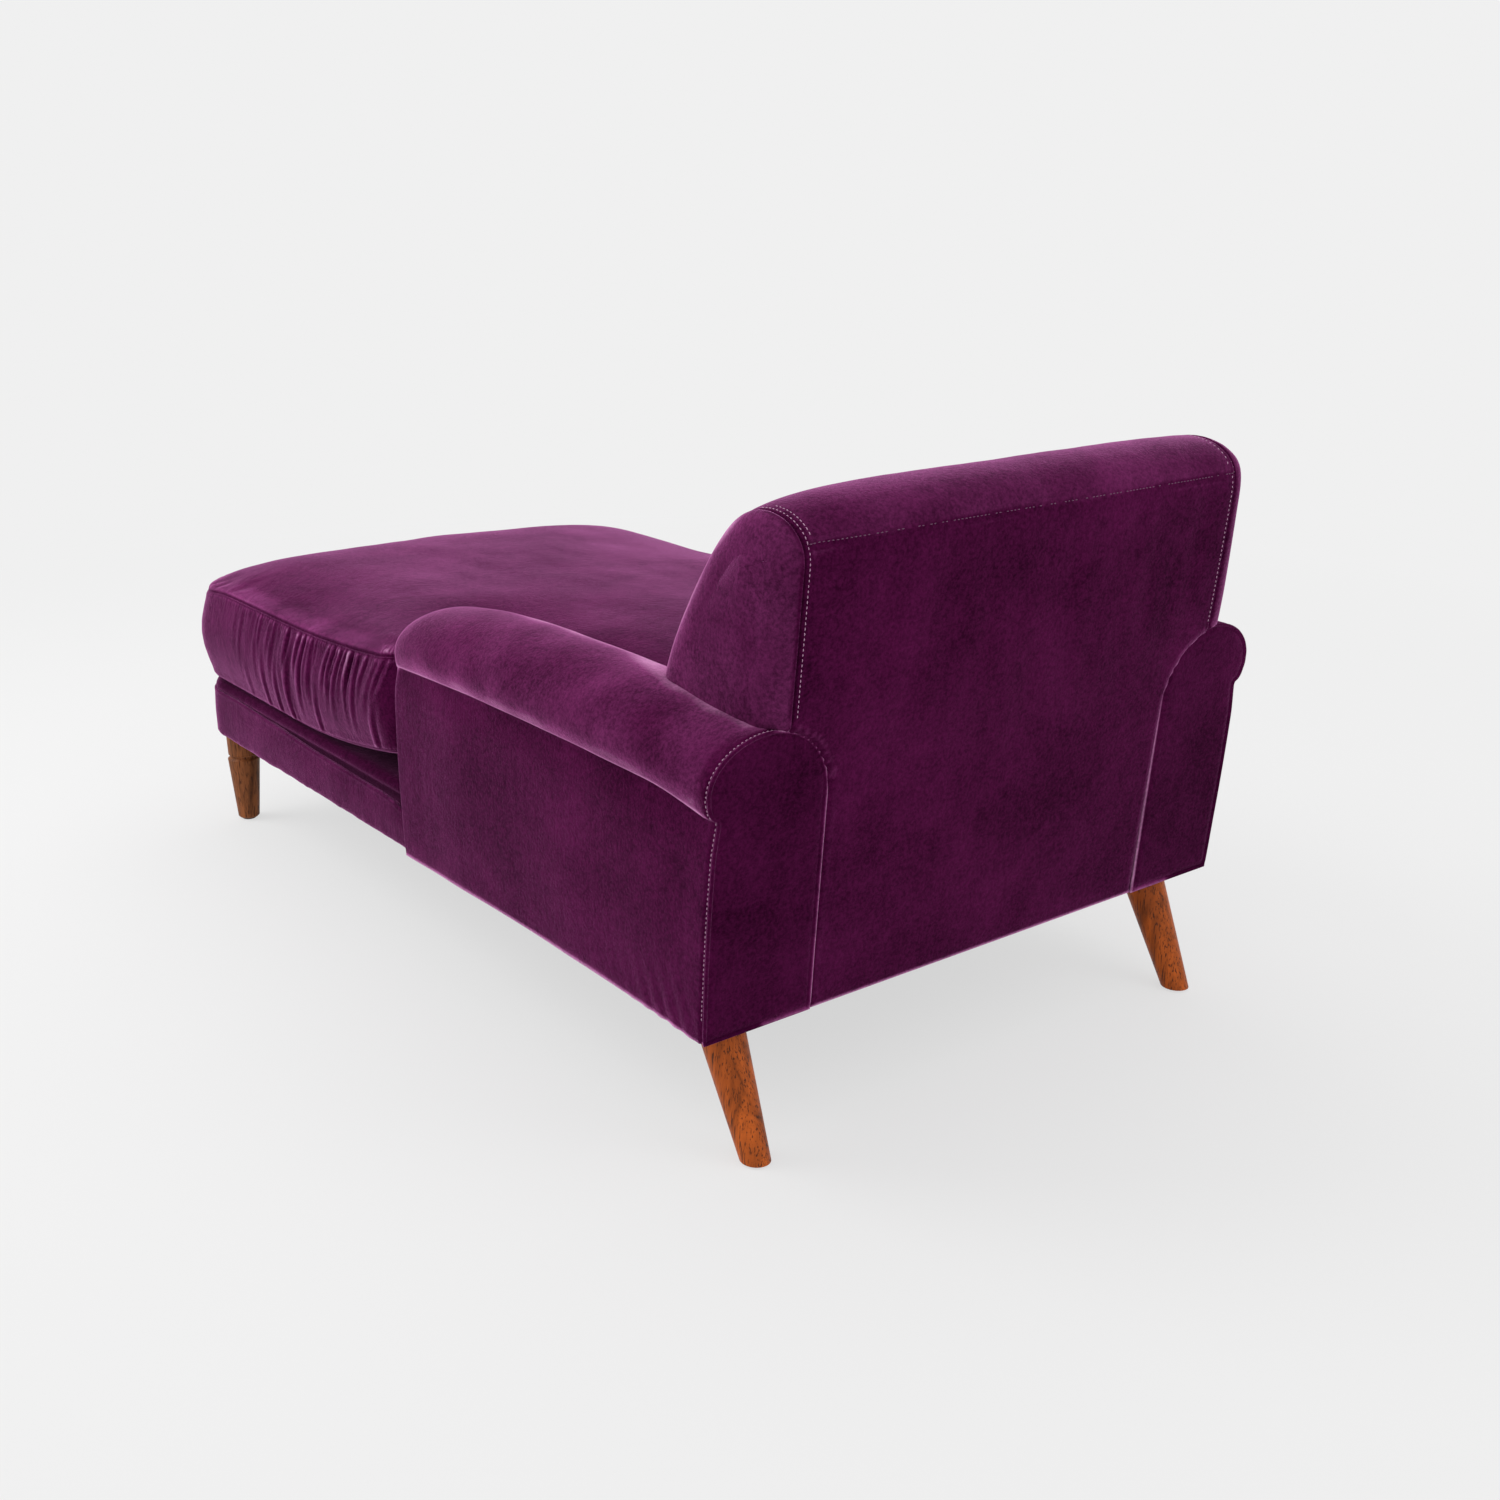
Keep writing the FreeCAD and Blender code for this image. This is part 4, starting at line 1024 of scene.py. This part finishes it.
def along_outline(points, path):
    """For each point: distance along the closed plan path, and how far outside the path it is.

    Points well inside count as a fixed distance in, because nothing there follows the seams.
    """
    wide = np.abs(points[:, 0])
    neck = points[:, 1] > CUSHION_SHOULDER_Y - SEAM_REACH
    beside = wide > np.where(neck, CUSHION_NECK, CUSHION_HALF) - SEAM_REACH
    ends = ((points[:, 1] < CUSHION_FOOT_Y + SEAM_REACH)
            | (points[:, 1] > CUSHION_REAR_Y - SEAM_REACH))
    close = np.nonzero(beside | ends)[0]
    where = np.zeros(len(points))
    out = np.full(len(points), -SEAM_REACH)
    where[close], out[close] = nearest_along(points[close, :2], path[::2])
    return where, out


def nearest_along(flat, loop):
    """For each point: distance along a closed loop to its nearest place, and how far out it is."""
    run = np.roll(loop, -1, axis=0) - loop
    length = np.linalg.norm(run, axis=1)
    before = np.concatenate([[0.0], np.cumsum(length)[:-1]])
    inward = inward_2d(loop)
    best = np.full(len(flat), 1e9)
    where, out = np.zeros((2, len(flat)))
    for k in range(len(loop)):
        gap = flat - loop[k]
        share = np.clip(gap @ run[k] / (length[k] ** 2), 0.0, 1.0)
        offset = gap - share[:, None] * run[k]
        far = np.linalg.norm(offset, axis=1)
        closer = far < best
        best[closer] = far[closer]
        where[closer] = before[k] + share[closer] * length[k]
        out[closer] = (-np.sign(offset @ inward[k]) * far)[closer]
    return where, out


def cushion_lift(points):
    """How far the cushion is raised where its side presses against the front of an arm."""
    x, y, z = points.T
    rise = np.clip((y + 0.400) / 0.385, 0.0, 1.15) ** 1.9
    side = ramp(np.abs(x), 0.24, 0.43) * (1.0 - ramp(y, 0.00, 0.10))
    share = ramp(z, CUSHION_SEAMS[0], CUSHION_SEAMS[1])
    return rise * side * (CUSHION_LIFT[0] * (1.0 - share) + CUSHION_LIFT[1] * share)


def cushion_droop(points):
    """How far the worn cushion sinks: on its right side, at its foot corners and over its crown."""
    x, y, z = points.T
    by_right, by_corner, by_foot, by_crown = CUSHION_DROOP
    share = ramp(z, CUSHION_SEAMS[0] + 0.02, CUSHION_SEAMS[1])
    crown = np.clip(z - CUSHION_SEAMS[1], 0.0, 0.05)
    right = by_right * ramp(-x, -0.05, 0.45) * (1.0 - ramp(y, -0.02, 0.30))
    corner = by_corner * ramp(np.abs(x), 0.30, 0.45) * ramp(y, -0.64, -0.80)
    foot = by_foot * ramp(y, -0.60, -0.80)
    return share * (right + corner + foot) + by_crown * crown


def seam_height(points, seam):
    """Height of a cushion seam at each point's place in plan."""
    at_seam = points.copy()
    at_seam[:, 2] = seam
    return seam + cushion_lift(at_seam) - cushion_droop(at_seam)


def joined_copy(name, nodes, voxel):
    """One closed mesh from copies of CAD nodes, remeshed evenly."""
    select_none()
    copies = []
    for node in nodes:
        copy = frame["nodes"][node].copy()
        copy.data = copy.data.copy()
        copy.parent = None
        for key in list(copy.keys()):
            del copy[key]
        copy.hide_render = copy.hide_viewport = False
        bpy.context.scene.collection.objects.link(copy)
        copy.select_set(True)
        copies.append(copy)
    bpy.context.view_layer.objects.active = copies[0]
    bpy.ops.object.join()
    piece = bpy.context.view_layer.objects.active
    piece.name = piece.data.name = name
    if piece.data.has_custom_normals:
        bpy.ops.mesh.customdata_custom_splitnormals_clear()
    edit(piece, merge=1e-5)
    piece.data.remesh_voxel_size = voxel
    bpy.ops.object.voxel_remesh()
    piece.data.polygons.foreach_set("use_smooth", [True] * len(piece.data.polygons))
    return piece


def weigh(piece, name, weights, places):
    """Vertex group with the weights rounded to a number of places."""
    group = piece.vertex_groups.new(name=name)
    weights = np.round(weights, places)
    for value in np.unique(weights[weights > 0.0]):
        group.add(np.nonzero(weights == value)[0].tolist(), float(value), "REPLACE")


def inflate(piece, held, growth):
    """Blow the cover up a little from inside with its seams held, then keep the shape it takes."""
    before = points_of(piece)
    weigh(piece, "seams", held, 2)
    weigh(piece, "looser", growth, 1)
    select_only(piece)
    modifier = piece.modifiers.new("Cloth", "CLOTH")
    for key, value in CLOTH.items():
        setattr(modifier.settings, key, value)
    modifier.settings.effector_weights.gravity = 0.0
    for span in (bpy.context.scene, modifier.point_cache):
        span.frame_start, span.frame_end = 1, CLOTH_FRAMES
    for frame_number in range(1, CLOTH_FRAMES + 1):
        bpy.context.scene.frame_set(frame_number)
    apply_modifier(piece, modifier)
    bpy.context.scene.frame_set(1)
    way = points_of(piece) - before
    size = np.linalg.norm(way, axis=1)
    way *= (np.minimum(size, CLOTH_REACH) / np.maximum(size, 1e-9))[:, None]
    set_points(piece, before + way)
    piece.vertex_groups.clear()


def fold_list(side, seed):
    """Folds of one side: side, place, width, height, length, lean and whether it starts on top."""
    random = np.random.default_rng(seed)
    folds = []
    y = -0.60
    while y < -0.035:
        strength = np.interp(y, (-0.60, -0.50, -0.38, -0.10, -0.04), (0.10, 0.45, 1.0, 1.0, 0.5))
        width = random.uniform(0.0030, 0.0068)
        height = strength * random.uniform(0.0010, 0.0040)
        reach = random.uniform(0.35, 1.05)
        lean = random.uniform(0.3, 1.3) * np.interp(y, (-0.60, -0.30, -0.05), (0.010, 0.034, 0.056))
        from_top = random.random() < 0.74
        folds.append((side, y, width, height, reach, lean, from_top))
        y += random.uniform(0.0075, 0.0210)
    return folds


def side_gathers(points, path):
    """Slanting folds of the gathered side strip, and short puckers all round it."""
    where, out = along_outline(points, path)
    x, y, z = points.T
    none = np.zeros(len(points))
    low = seam_height(points, CUSHION_SEAMS[0])
    high = seam_height(points, CUSHION_SEAMS[1])
    share = np.clip((z - low) / (high - low), -0.2, 1.2)
    strip = ramp(share, 0.0, 0.04) * ramp(share, 1.0, 0.96) * ramp(out, -0.012, 0.0)
    bent = 0.004 * noise_at(np.column_stack([y, share * 0.12, none]), 0.04, 21.0)
    total = none.copy()
    member = np.nonzero((strip > 0.0) & (np.abs(x) > 0.36) & (y < CUSHION_SHOULDER_Y))[0]
    for side, at, width, height, reach, lean, from_top in fold_list(1.0, 5) + fold_list(-1.0, 6):
        here = member[x[member] * side > 0.0]
        down = 1.0 - share[here]
        far = y[here] + bent[here] + lean * (down - 0.5) - at
        along = down if from_top else 1.0 - down
        spread = width * (1.0 + 0.9 * along)
        fade = ramp(along, reach, reach * 0.35) * ramp(along, 0.0, 0.06)
        ridge = near(far, 0.0, spread) - 0.55 * near(far, 1.5 * spread, spread)
        total[here] += height * fade * ridge
    tick = ridged(where / 0.0088 + 0.8 * noise_at(points, 0.04, 23.0))
    short = np.exp(-np.abs(share - 0.97) * 10.0) + 0.5 * np.exp(-np.abs(share - 0.03) * 14.0)
    patches = noise_at(np.column_stack([where, none, none]), 0.06, 24.0)
    size = 0.4 + 1.2 * ramp(patches, -0.3, 0.5)
    return strip * (total + 0.0009 * short * size * tick)


def ridged(turns):
    """Wave with rounded crests and narrow valleys, from -1 to 1."""
    wave = np.abs(np.sin(np.pi * turns))
    return 2.0 * wave ** 0.8 - 1.0


def top_wrinkles(points):
    """Creases of the top panel by the backrest and at the arms' noses, and its soft waves."""
    x, y, z = points.T
    top = ramp(z - seam_height(points, CUSHION_SEAMS[1]), 0.008, 0.024)
    far = np.hypot(np.abs(x) - 0.06, y - 0.52)
    angle = np.arctan2(0.52 - y, x)
    fan = np.sin(angle * 9.0 + 1.5 * noise_at(points, 0.10, 31.0))
    by_back = 0.0042 * near(far, 0.12, 0.11) * ramp(y, 0.20, 0.34) * fan
    nose = np.hypot(np.abs(x) - 0.40, y + 0.03)
    turn = np.arctan2(y + 0.03, np.abs(x) - 0.40)
    by_nose = 0.0012 * near(nose, 0.06, 0.05) * np.sin(turn * 8.0 + noise_at(points, 0.05, 32.0))
    flat = points * np.array([1.0, 0.55, 1.0])
    waves = 0.0024 * noise_at(flat, 0.16, 33.0) + 0.0012 * noise_at(flat, 0.06, 34.0)
    return top * (by_back + by_nose + waves)


def seam_valleys(points, path):
    """Valley along each cushion seam with a fuller edge beside it and small puckers across it."""
    where, out = along_outline(points, path)
    total = np.zeros(len(points))
    for seam, depth in zip(CUSHION_SEAMS, (0.0018, 0.0017)):
        gap = points[:, 2] - seam_height(points, seam)
        beside = ramp(out, -0.030, -0.010)
        total -= depth * beside * near(gap, 0.0, 0.0032)
        total += 0.0005 * beside * near(np.abs(gap), 0.008, 0.005)
        tick = ridged(where / 0.0075 + 0.6 * noise_at(points, 0.04, 41.0))
        total += 0.0005 * beside * near(gap, 0.006, 0.009) * tick
    return total


def cushion_painted_light(points, path):
    """Painted light of the cushion: highlight above its upper seam and at its lower seam, shade
    right at the upper seam.
    """
    _, out = along_outline(points, path)
    above = points[:, 2] - seam_height(points, CUSHION_SEAMS[1])
    below = points[:, 2] - seam_height(points, CUSHION_SEAMS[0])
    edge = ramp(out, -0.060, -0.012)
    patches = 0.85 + 0.45 * noise_at(points, 0.05, 16.0)
    rim = near(above, 0.016, 0.013) * edge * patches
    hem = near(below, -0.004, 0.004) * ramp(out, -0.03, -0.01)
    # Painted highlight band above the upper seam and at the lower seam, painted shade at the upper
    # seam
    return 0.8 * rim + 0.5 * hem - 0.25 * near(above, 0.0, 0.0025) * edge


class CHAISE_OT_cushion(bpy.types.Operator):
    """Fill and cover the loose T-shaped seat cushion, with its seams and gathers"""
    bl_idname = "chaise.cushion"
    bl_label = "Seat cushion"

    def execute(self, context):
        path = tee_outline(CUSHION_HALF, CUSHION_NECK, CUSHION_FOOT_Y, CUSHION_SHOULDER_Y,
                           CUSHION_REAR_Y, CUSHION_CORNERS)
        piece = joined_copy("cushion_covering", ("cushion_core_foot", "cushion_core_seat"),
                            CUSHION_VOXEL)
        points = points_of(piece)
        points[:, 2] += cushion_lift(points) - cushion_droop(points)
        set_points(piece, points)
        push(piece, np.full(len(points), COVER_THICKNESS))
        push(piece, GATHERS_BEFORE * side_gathers(points_of(piece), path))
        inflate(piece, *self.seams_and_slack(points_of(piece)))
        self.ease_top(piece)
        finer = piece.modifiers.new("Finer", "SUBSURF")
        finer.levels = finer.render_levels = 1
        apply_modifier(piece, finer)
        push(piece, GATHERS_AFTER * side_gathers(points_of(piece), path))
        push(piece, top_wrinkles(points_of(piece)))
        push(piece, seam_valleys(points_of(piece), path))
        # Painted highlight and shade of the cushion cover
        paint_pile_light(piece, reach=12, scale=0.0017, extra=cushion_painted_light(points_of(piece), path))
        nodes = ("cushion_core_foot", "cushion_core_seat", "cushion_top_panel",
                 "cushion_bottom_panel", "cushion_boxing")
        dress(piece, "seat_cushion", velvet(), nodes)
        self.seam_folds(piece, path)
        return {"FINISHED"}

    def ease_top(self, piece):
        """Smooth the top panel, so that no crease of the foam blocks shows through it."""
        points, edges = points_of(piece), edges_of(piece)
        share = ramp(points[:, 2] - seam_height(points, CUSHION_SEAMS[1]), 0.010, 0.030)
        for _ in range(TOP_EASING):
            points = points + share[:, None] * (averaged(points, edges) - points)
        points[:, 2] += TOP_LIFT * share
        set_points(piece, points)

    def seams_and_slack(self, points):
        """Weights that hold the seams and the underside, and how loose the cloth is elsewhere."""
        x, y, z = points.T
        low = seam_height(points, CUSHION_SEAMS[0])
        high = seam_height(points, CUSHION_SEAMS[1])
        held = np.maximum(near(z - low, 0.0, 0.006), near(z - high, 0.0, 0.006))
        held = np.where(held > 0.35, 1.0, 0.0)
        held = np.where(z < low - 0.003, 1.0, held)
        beside_arm = (np.abs(x) > CUSHION_NECK - 0.03) & (y > -0.03)
        held = np.where(beside_arm & (z < high), 1.0, held)
        growth = np.where(z > high, 0.2, 0.5)
        growth = growth + 0.4 * ramp(y, 0.30, 0.45) * (z > high)
        growth = growth + 0.5 * ramp(y, -0.55, -0.35) * (z <= high) * (y < -0.02)
        return held, np.clip(growth, 0.0, 1.0)

    def seam_folds(self, cushion, path):
        """Folded edges that show as a fine line along the two seams."""
        tree = BVHTree.FromObject(cushion, bpy.context.evaluated_depsgraph_get())
        for name, seam in zip(("cushion_seam_lower", "cushion_seam_upper"), CUSHION_SEAMS):
            rough = at_height(path, seam)
            rough[:, 2] = seam_height(rough, seam)
            line, _ = snapped(tree, even_path(np.vstack([rough, rough[:1]]), 0.006)[:-1])
            piece = tube(name, rounded(line, 3), SEAM_TUBE)
            # Painted highlight along the folded seam edges
            paint_pile_light(piece, reach=2, scale=0.0012, extra=0.30)
            dress(piece, "seat_cushion", velvet())


def snapped(tree, points):
    """Nearest places on a surface and the surface's normals there."""
    places, normals = [], []
    for point in points:
        place, normal, _, _ = tree.find_nearest(Vector(point))
        places.append(place)
        normals.append(normal)
    return np.array(places), np.array(normals)


def tube(name, line, radius, sides=8):
    """Round tube along a closed line of points that runs nearly level."""
    tangent = unit(np.roll(line, -1, axis=0) - np.roll(line, 1, axis=0))
    across = unit(np.cross(tangent, (0.0, 0.0, 1.0)))
    over = np.cross(across, tangent)
    turn = (2.0 * np.pi * np.arange(sides) / sides)[None, :, None]
    round_it = np.cos(turn) * across[:, None, :] + np.sin(turn) * over[:, None, :]
    return rings_piece(name, line[:, None, :] + radius * round_it, closed=True)


# Topstitching

def one_stitch():
    """One stitch of unit length along X: a rounded bar whose ends dip into the cloth."""
    select_none()
    bpy.ops.mesh.primitive_cylinder_add(vertices=6, radius=0.5, depth=1.0, end_fill_type="TRIFAN",
                                        rotation=(0.0, math.pi / 2.0, 0.0))
    stitch = bpy.context.active_object
    bpy.ops.object.transform_apply(location=True, rotation=True, scale=True)
    bpy.ops.object.mode_set(mode="EDIT")
    bpy.ops.mesh.select_all(action="SELECT")
    bpy.ops.mesh.bisect(plane_co=(0.0, 0.0, 0.0), plane_no=(1.0, 0.0, 0.0))
    bpy.ops.object.mode_set(mode="OBJECT")
    points = points_of(stitch)
    ends = np.abs(points[:, 0]) > 0.4
    points[ends, 1:] *= 0.7
    points[ends, 2] -= 0.55
    faces = [tuple(polygon.vertices) for polygon in stitch.data.polygons]
    bpy.data.objects.remove(stitch)
    return points, faces


def stitch_row(name, line, tree, shape, material, skip=0.0, seed=1):
    """Row of stitches laid on a surface along a line."""
    look = settings()
    shape_points, shape_faces = shape
    spots, normals = snapped(tree, even_path(line, look.stitch_pitch))
    thick = look.stitch_thickness
    random = np.random.default_rng(seed)
    points, faces = [], []
    for spot, normal, way in zip(spots, normals, unit(np.gradient(spots, axis=0))):
        lost = random.random() < skip
        wobble = random.normal(0.0, 0.03)
        length = look.stitch_length * random.uniform(0.85, 1.08)
        if lost:
            continue
        side = np.cross(normal, way)
        side /= max(np.linalg.norm(side), 1e-9)
        way = way + side * wobble
        sizes = np.array([length, thick, thick])
        start = len(points) * len(shape_points)
        points.append(spot + shape_points * sizes @ np.array([way, side, np.cross(way, side)])
                      + normal * thick * 0.15)
        faces.extend(tuple(v + start for v in face) for face in shape_faces)
    piece = new_piece(name, np.concatenate(points), faces)
    dress(piece, "frame", material)


class CHAISE_OT_topstitching(bpy.types.Operator):
    """Sew the visible rows of pale thread on the arms and the backrest"""
    bl_idname = "chaise.topstitching"
    bl_label = "Topstitching"

    def execute(self, context):
        shape = one_stitch()
        pale = thread_material("pale_thread", settings().thread_colour)
        # The cross row uses the same thread painted darker: painted shade where it sinks into the
        # pile
        dull = thread_material("dull_thread", settings().thread_painted_shade)
        depsgraph = bpy.context.evaluated_depsgraph_get()
        for name, side in SIDES:
            arm = BVHTree.FromObject(bpy.data.objects["arm_covering_" + name], depsgraph)
            loop = arm_at(ARM_REAR_Y)
            row = loop[np.argmax(loop[:, 1]) - 3:-24]
            line = upright(row, rear_plane(row[:, 1]) - ARM_STITCH_GAP) * np.array([side, 1.0, 1.0])
            stitch_row("arm_stitches_" + name, line, arm, shape, pale, seed=11)
        back = BVHTree.FromObject(bpy.data.objects["back_covering"], depsgraph)
        loop = back_outline()
        for name, side in SIDES:
            for kind, low, gap, seed in GUSSET_ROWS:
                run = loop[np.all(loop > low, axis=1)]
                line = np.column_stack([np.full(len(run), side * (BACK_SEAM_X - gap)), run])
                stitch_row(kind + "_stitches_" + name, line, back, shape, pale, seed=seed)
        x = np.linspace(BACK_SEAM_X - 0.006, -BACK_SEAM_X + 0.006, 200)
        line = upright(np.column_stack([x, np.full(len(x), CROSS_SEAM_Z + 0.0045)]),
                       np.full(len(x), 0.826))
        stitch_row("cross_stitches", line, back, shape, dull, CROSS_STITCH_SKIP, seed=14)
        return {"FINISHED"}


# Legs, inner pieces and underside

class CHAISE_OT_finishes(bpy.types.Operator):
    """Give the legs and all inner pieces of the frame their finishes"""
    bl_idname = "chaise.finishes"
    bl_label = "Legs and inner pieces"

    def execute(self, context):
        made = {slot: plain_material(*finish) for slot, finish in FINISHES.items()}
        made["velvet"] = velvet()
        look = settings()
        rear = wood("leg_wood_rear", look.leg_rear, REAR_GRAIN_DEG, 0.0)
        front = wood("leg_wood_front", look.leg_front, 0.0, 0.08)
        for part in frame["record"]["subparts"]:
            node = frame["nodes"][part["node"]]
            if part["node"].startswith("rear_leg"):
                finish = rear
            elif part["node"].startswith("front_leg"):
                finish = front
            else:
                finish = made[part["material_slot"]]
            node.data.materials.clear()
            node.data.materials.append(finish)
        return {"FINISHED"}


class CHAISE_OT_underside(bpy.types.Operator):
    """Stretch the black cloth under the base"""
    bl_idname = "chaise.underside"
    bl_label = "Underside cloth"

    def execute(self, context):
        low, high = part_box("dust_cover")
        half = BASE_HALF - 0.012
        outline = tee_outline(half, half - 0.004, BASE_FOOT_Y + 0.012, -0.2, high.y - 0.002,
                              (BASE_CORNER - 0.010, 0.004, 0.004, 0.010))
        target = tee_spine(outline)
        level = 0.5 * (low.z + high.z)
        rings = [at_height(outline * (1.0 - share) + target * share,
                           level - 0.0012 * math.sin(0.5 * math.pi * share))
                 for share in np.linspace(0.0, 1.0, 50)]
        piece = rings_piece("underside_cloth", rings)
        dress(piece, "frame", bpy.data.materials["black_lining"], ("dust_cover",))
        return {"FINISHED"}


# Stage

class CHAISE_OT_stage(bpy.types.Operator):
    """Set up the pale floor, the soft studio lamps and the camera"""
    bl_idname = "chaise.stage"
    bl_label = "Stage"

    def execute(self, context):
        scene = context.scene
        scene.view_settings.view_transform = "Standard"
        self.floor()
        self.world(scene)
        for name, place, size, power in LAMPS:
            lamp = bpy.data.lights.new(name, "AREA")
            lamp.shape = "DISK"
            lamp.size = size
            lamp.energy = power
            self.stand(name, lamp, place, LAMP_AIM - Vector(place))
        camera = bpy.data.cameras.new("camera")
        camera.lens = CAMERA_LENS
        camera.sensor_width = SENSOR_WIDTH
        camera.clip_end = VIEW_REACH
        flat = math.cos(CAMERA_PITCH)
        ahead = Vector((math.sin(CAMERA_YAW) * flat, math.cos(CAMERA_YAW) * flat,
                        -math.sin(CAMERA_PITCH)))
        scene.camera = self.stand("camera", camera, CAMERA_AT, ahead)
        return {"FINISHED"}

    def stand(self, name, data, place, ahead):
        """Put a lamp or a camera at its place, looking ahead."""
        holder = bpy.data.objects.new(name, data)
        bpy.context.scene.collection.objects.link(holder)
        holder.location = place
        holder.rotation_mode = "QUATERNION"
        holder.rotation_quaternion = ahead.to_track_quat("-Z", "Y")
        return holder

    def floor(self):
        """Floor that shows the plain backdrop colour to the camera, more so further away."""
        select_none()
        bpy.ops.mesh.primitive_plane_add(size=FLOOR_SIZE, location=(0.0, 0.0, 0.0))
        floor = bpy.context.active_object
        floor.name = "floor"
        shader = Shader("pale_floor")
        shader.set(Base_Color=settings().floor_colour, Roughness=0.9, Specular_IOR_Level=0.1)
        plain = shader.node("ShaderNodeEmission", {"Color": settings().backdrop_colour})
        rays = shader.node("ShaderNodeLightPath").outputs
        seen = shader.math("MAXIMUM", rays["Is Camera Ray"], rays["Is Glossy Ray"])
        seen = shader.math("MAXIMUM", seen, rays["Is Transmission Ray"])
        away = shader.node("ShaderNodeVectorMath", {0: shader.place()}, operation="LENGTH")
        share = shader.spread(away.outputs["Value"], *BACKDROP_REACH, BACKDROP_SHARE, 1.0)
        mix_shaders(shader.tree, shader.math("MULTIPLY", seen, share), shader.surface, plain,
                    shader.tree.nodes["Material Output"])
        floor.data.materials.append(shader.material)

    def world(self, scene):
        """White light all round, and the plain backdrop colour where the camera sees it."""
        scene.world = bpy.data.worlds.new("studio")
        scene.world.use_nodes = True
        tree = scene.world.node_tree
        light = tree.nodes["Background"]
        light.inputs["Color"].default_value = (1.0, 1.0, 1.0, 1.0)
        light.inputs["Strength"].default_value = WORLD_LIGHT
        plain = tree.nodes.new("ShaderNodeBackground")
        plain.inputs["Color"].default_value = (*settings().backdrop_colour, 1.0)
        rays = tree.nodes.new("ShaderNodeLightPath")
        mix_shaders(tree, rays.outputs["Is Camera Ray"], light, plain, tree.nodes["World Output"])


# What a user would change

def colour(name, description, default):
    return bpy.props.FloatVectorProperty(name=name, description=description, default=default,
                                         size=3, min=0.0, max=1.0, subtype="COLOR")


def length(name, description, default):
    return bpy.props.FloatProperty(name=name, description=description, default=default,
                                   min=0.0, precision=5, unit="LENGTH", subtype="DISTANCE")


class ChaiseSettings(bpy.types.PropertyGroup):
    velvet_dark: colour("Velvet, dark", "Velvet where the pile faces the eye",
                        (0.014, 0.0005, 0.008))
    velvet_mid: colour("Velvet, mid", "Velvet where the nap lies over", (0.100, 0.0068, 0.058))
    # Colour of the painted sheen highlight on edges, folds, rolls and gussets
    velvet_painted_highlight: colour("Velvet, pale", "Parted pile on edges and folds", (0.42, 0.080, 0.29))
    # Colour of the palest painted glint along seams and rims
    velvet_painted_glint: colour("Velvet, bright", "Pile laid open along seams and rims",
                          (0.78, 0.44, 0.68))
    # Colour of the painted shade in valleys, creases, on the deck and at the lower hem
    velvet_painted_shade: colour("Velvet, deep", "Velvet in valleys and creases", (0.010, 0.0004, 0.006))
    sheen_tint: colour("Sheen", "Tint of the pile at grazing angles", (1.0, 0.35, 0.80))
    thread_colour: colour("Thread", "Topstitching thread", (0.62, 0.34, 0.52))
    # The topstitching thread painted darker, as painted shade where it sinks into the cross seam's
    # pile
    thread_painted_shade: colour("Thread, dull", "Thread sunk in the pile of the cross seam",
                        (0.17, 0.055, 0.13))
    leg_rear: colour("Rear legs", "Oiled hardwood of the rear legs", (0.43, 0.088, 0.011))
    leg_front: colour("Front legs", "Duller hardwood of the front legs", (0.235, 0.076, 0.025))
    leg_fleck: colour("Flecks", "Dark flecks along the grain", (0.045, 0.014, 0.006))
    floor_colour: colour("Floor", "Plain pale floor", (0.80, 0.80, 0.80))
    backdrop_colour: colour("Backdrop", "Plain pale backdrop", (0.871, 0.871, 0.871))
    pile_depth: length("Pile depth", "Relief of the cut pile", 0.0005)
    stitch_pitch: length("Stitch pitch", "Distance from stitch to stitch", 0.0062)
    stitch_length: length("Stitch length", "Visible length of one stitch", 0.0042)
    stitch_thickness: length("Thread thickness", "Thickness of the thread", 0.0013)


class CHAISE_PT_build(bpy.types.Panel):
    """Lists the steps that dress the chaise longue, and its sizes and colours"""
    bl_label = "Chaise longue"
    bl_idname = "CHAISE_PT_build"
    bl_space_type = "VIEW_3D"
    bl_region_type = "UI"
    bl_category = "Chaise"

    def draw(self, context):
        column = self.layout.column()
        for step in STEPS:
            column.operator(step.bl_idname, text=step.bl_label)
        for key in ChaiseSettings.__annotations__:
            column.prop(context.scene.chaise, key)


STEPS = (CHAISE_OT_stage, CHAISE_OT_finishes, CHAISE_OT_base, CHAISE_OT_arms, CHAISE_OT_backrest,
         CHAISE_OT_cushion, CHAISE_OT_topstitching, CHAISE_OT_underside)
CLASSES = (ChaiseSettings, *STEPS, CHAISE_PT_build)


def register():
    for item in CLASSES:
        bpy.utils.register_class(item)
    bpy.types.Scene.chaise = bpy.props.PointerProperty(type=ChaiseSettings)


def unregister():
    del bpy.types.Scene.chaise
    for item in reversed(CLASSES):
        bpy.utils.unregister_class(item)


def main():
    register()
    bpy.ops.chaise.stage()
    bpy.ops.chaise.finishes()
    bpy.ops.chaise.base()
    bpy.ops.chaise.arms()
    bpy.ops.chaise.backrest()
    bpy.ops.chaise.cushion()
    bpy.ops.chaise.topstitching()
    bpy.ops.chaise.underside()


if __name__ == "__main__":
    main()
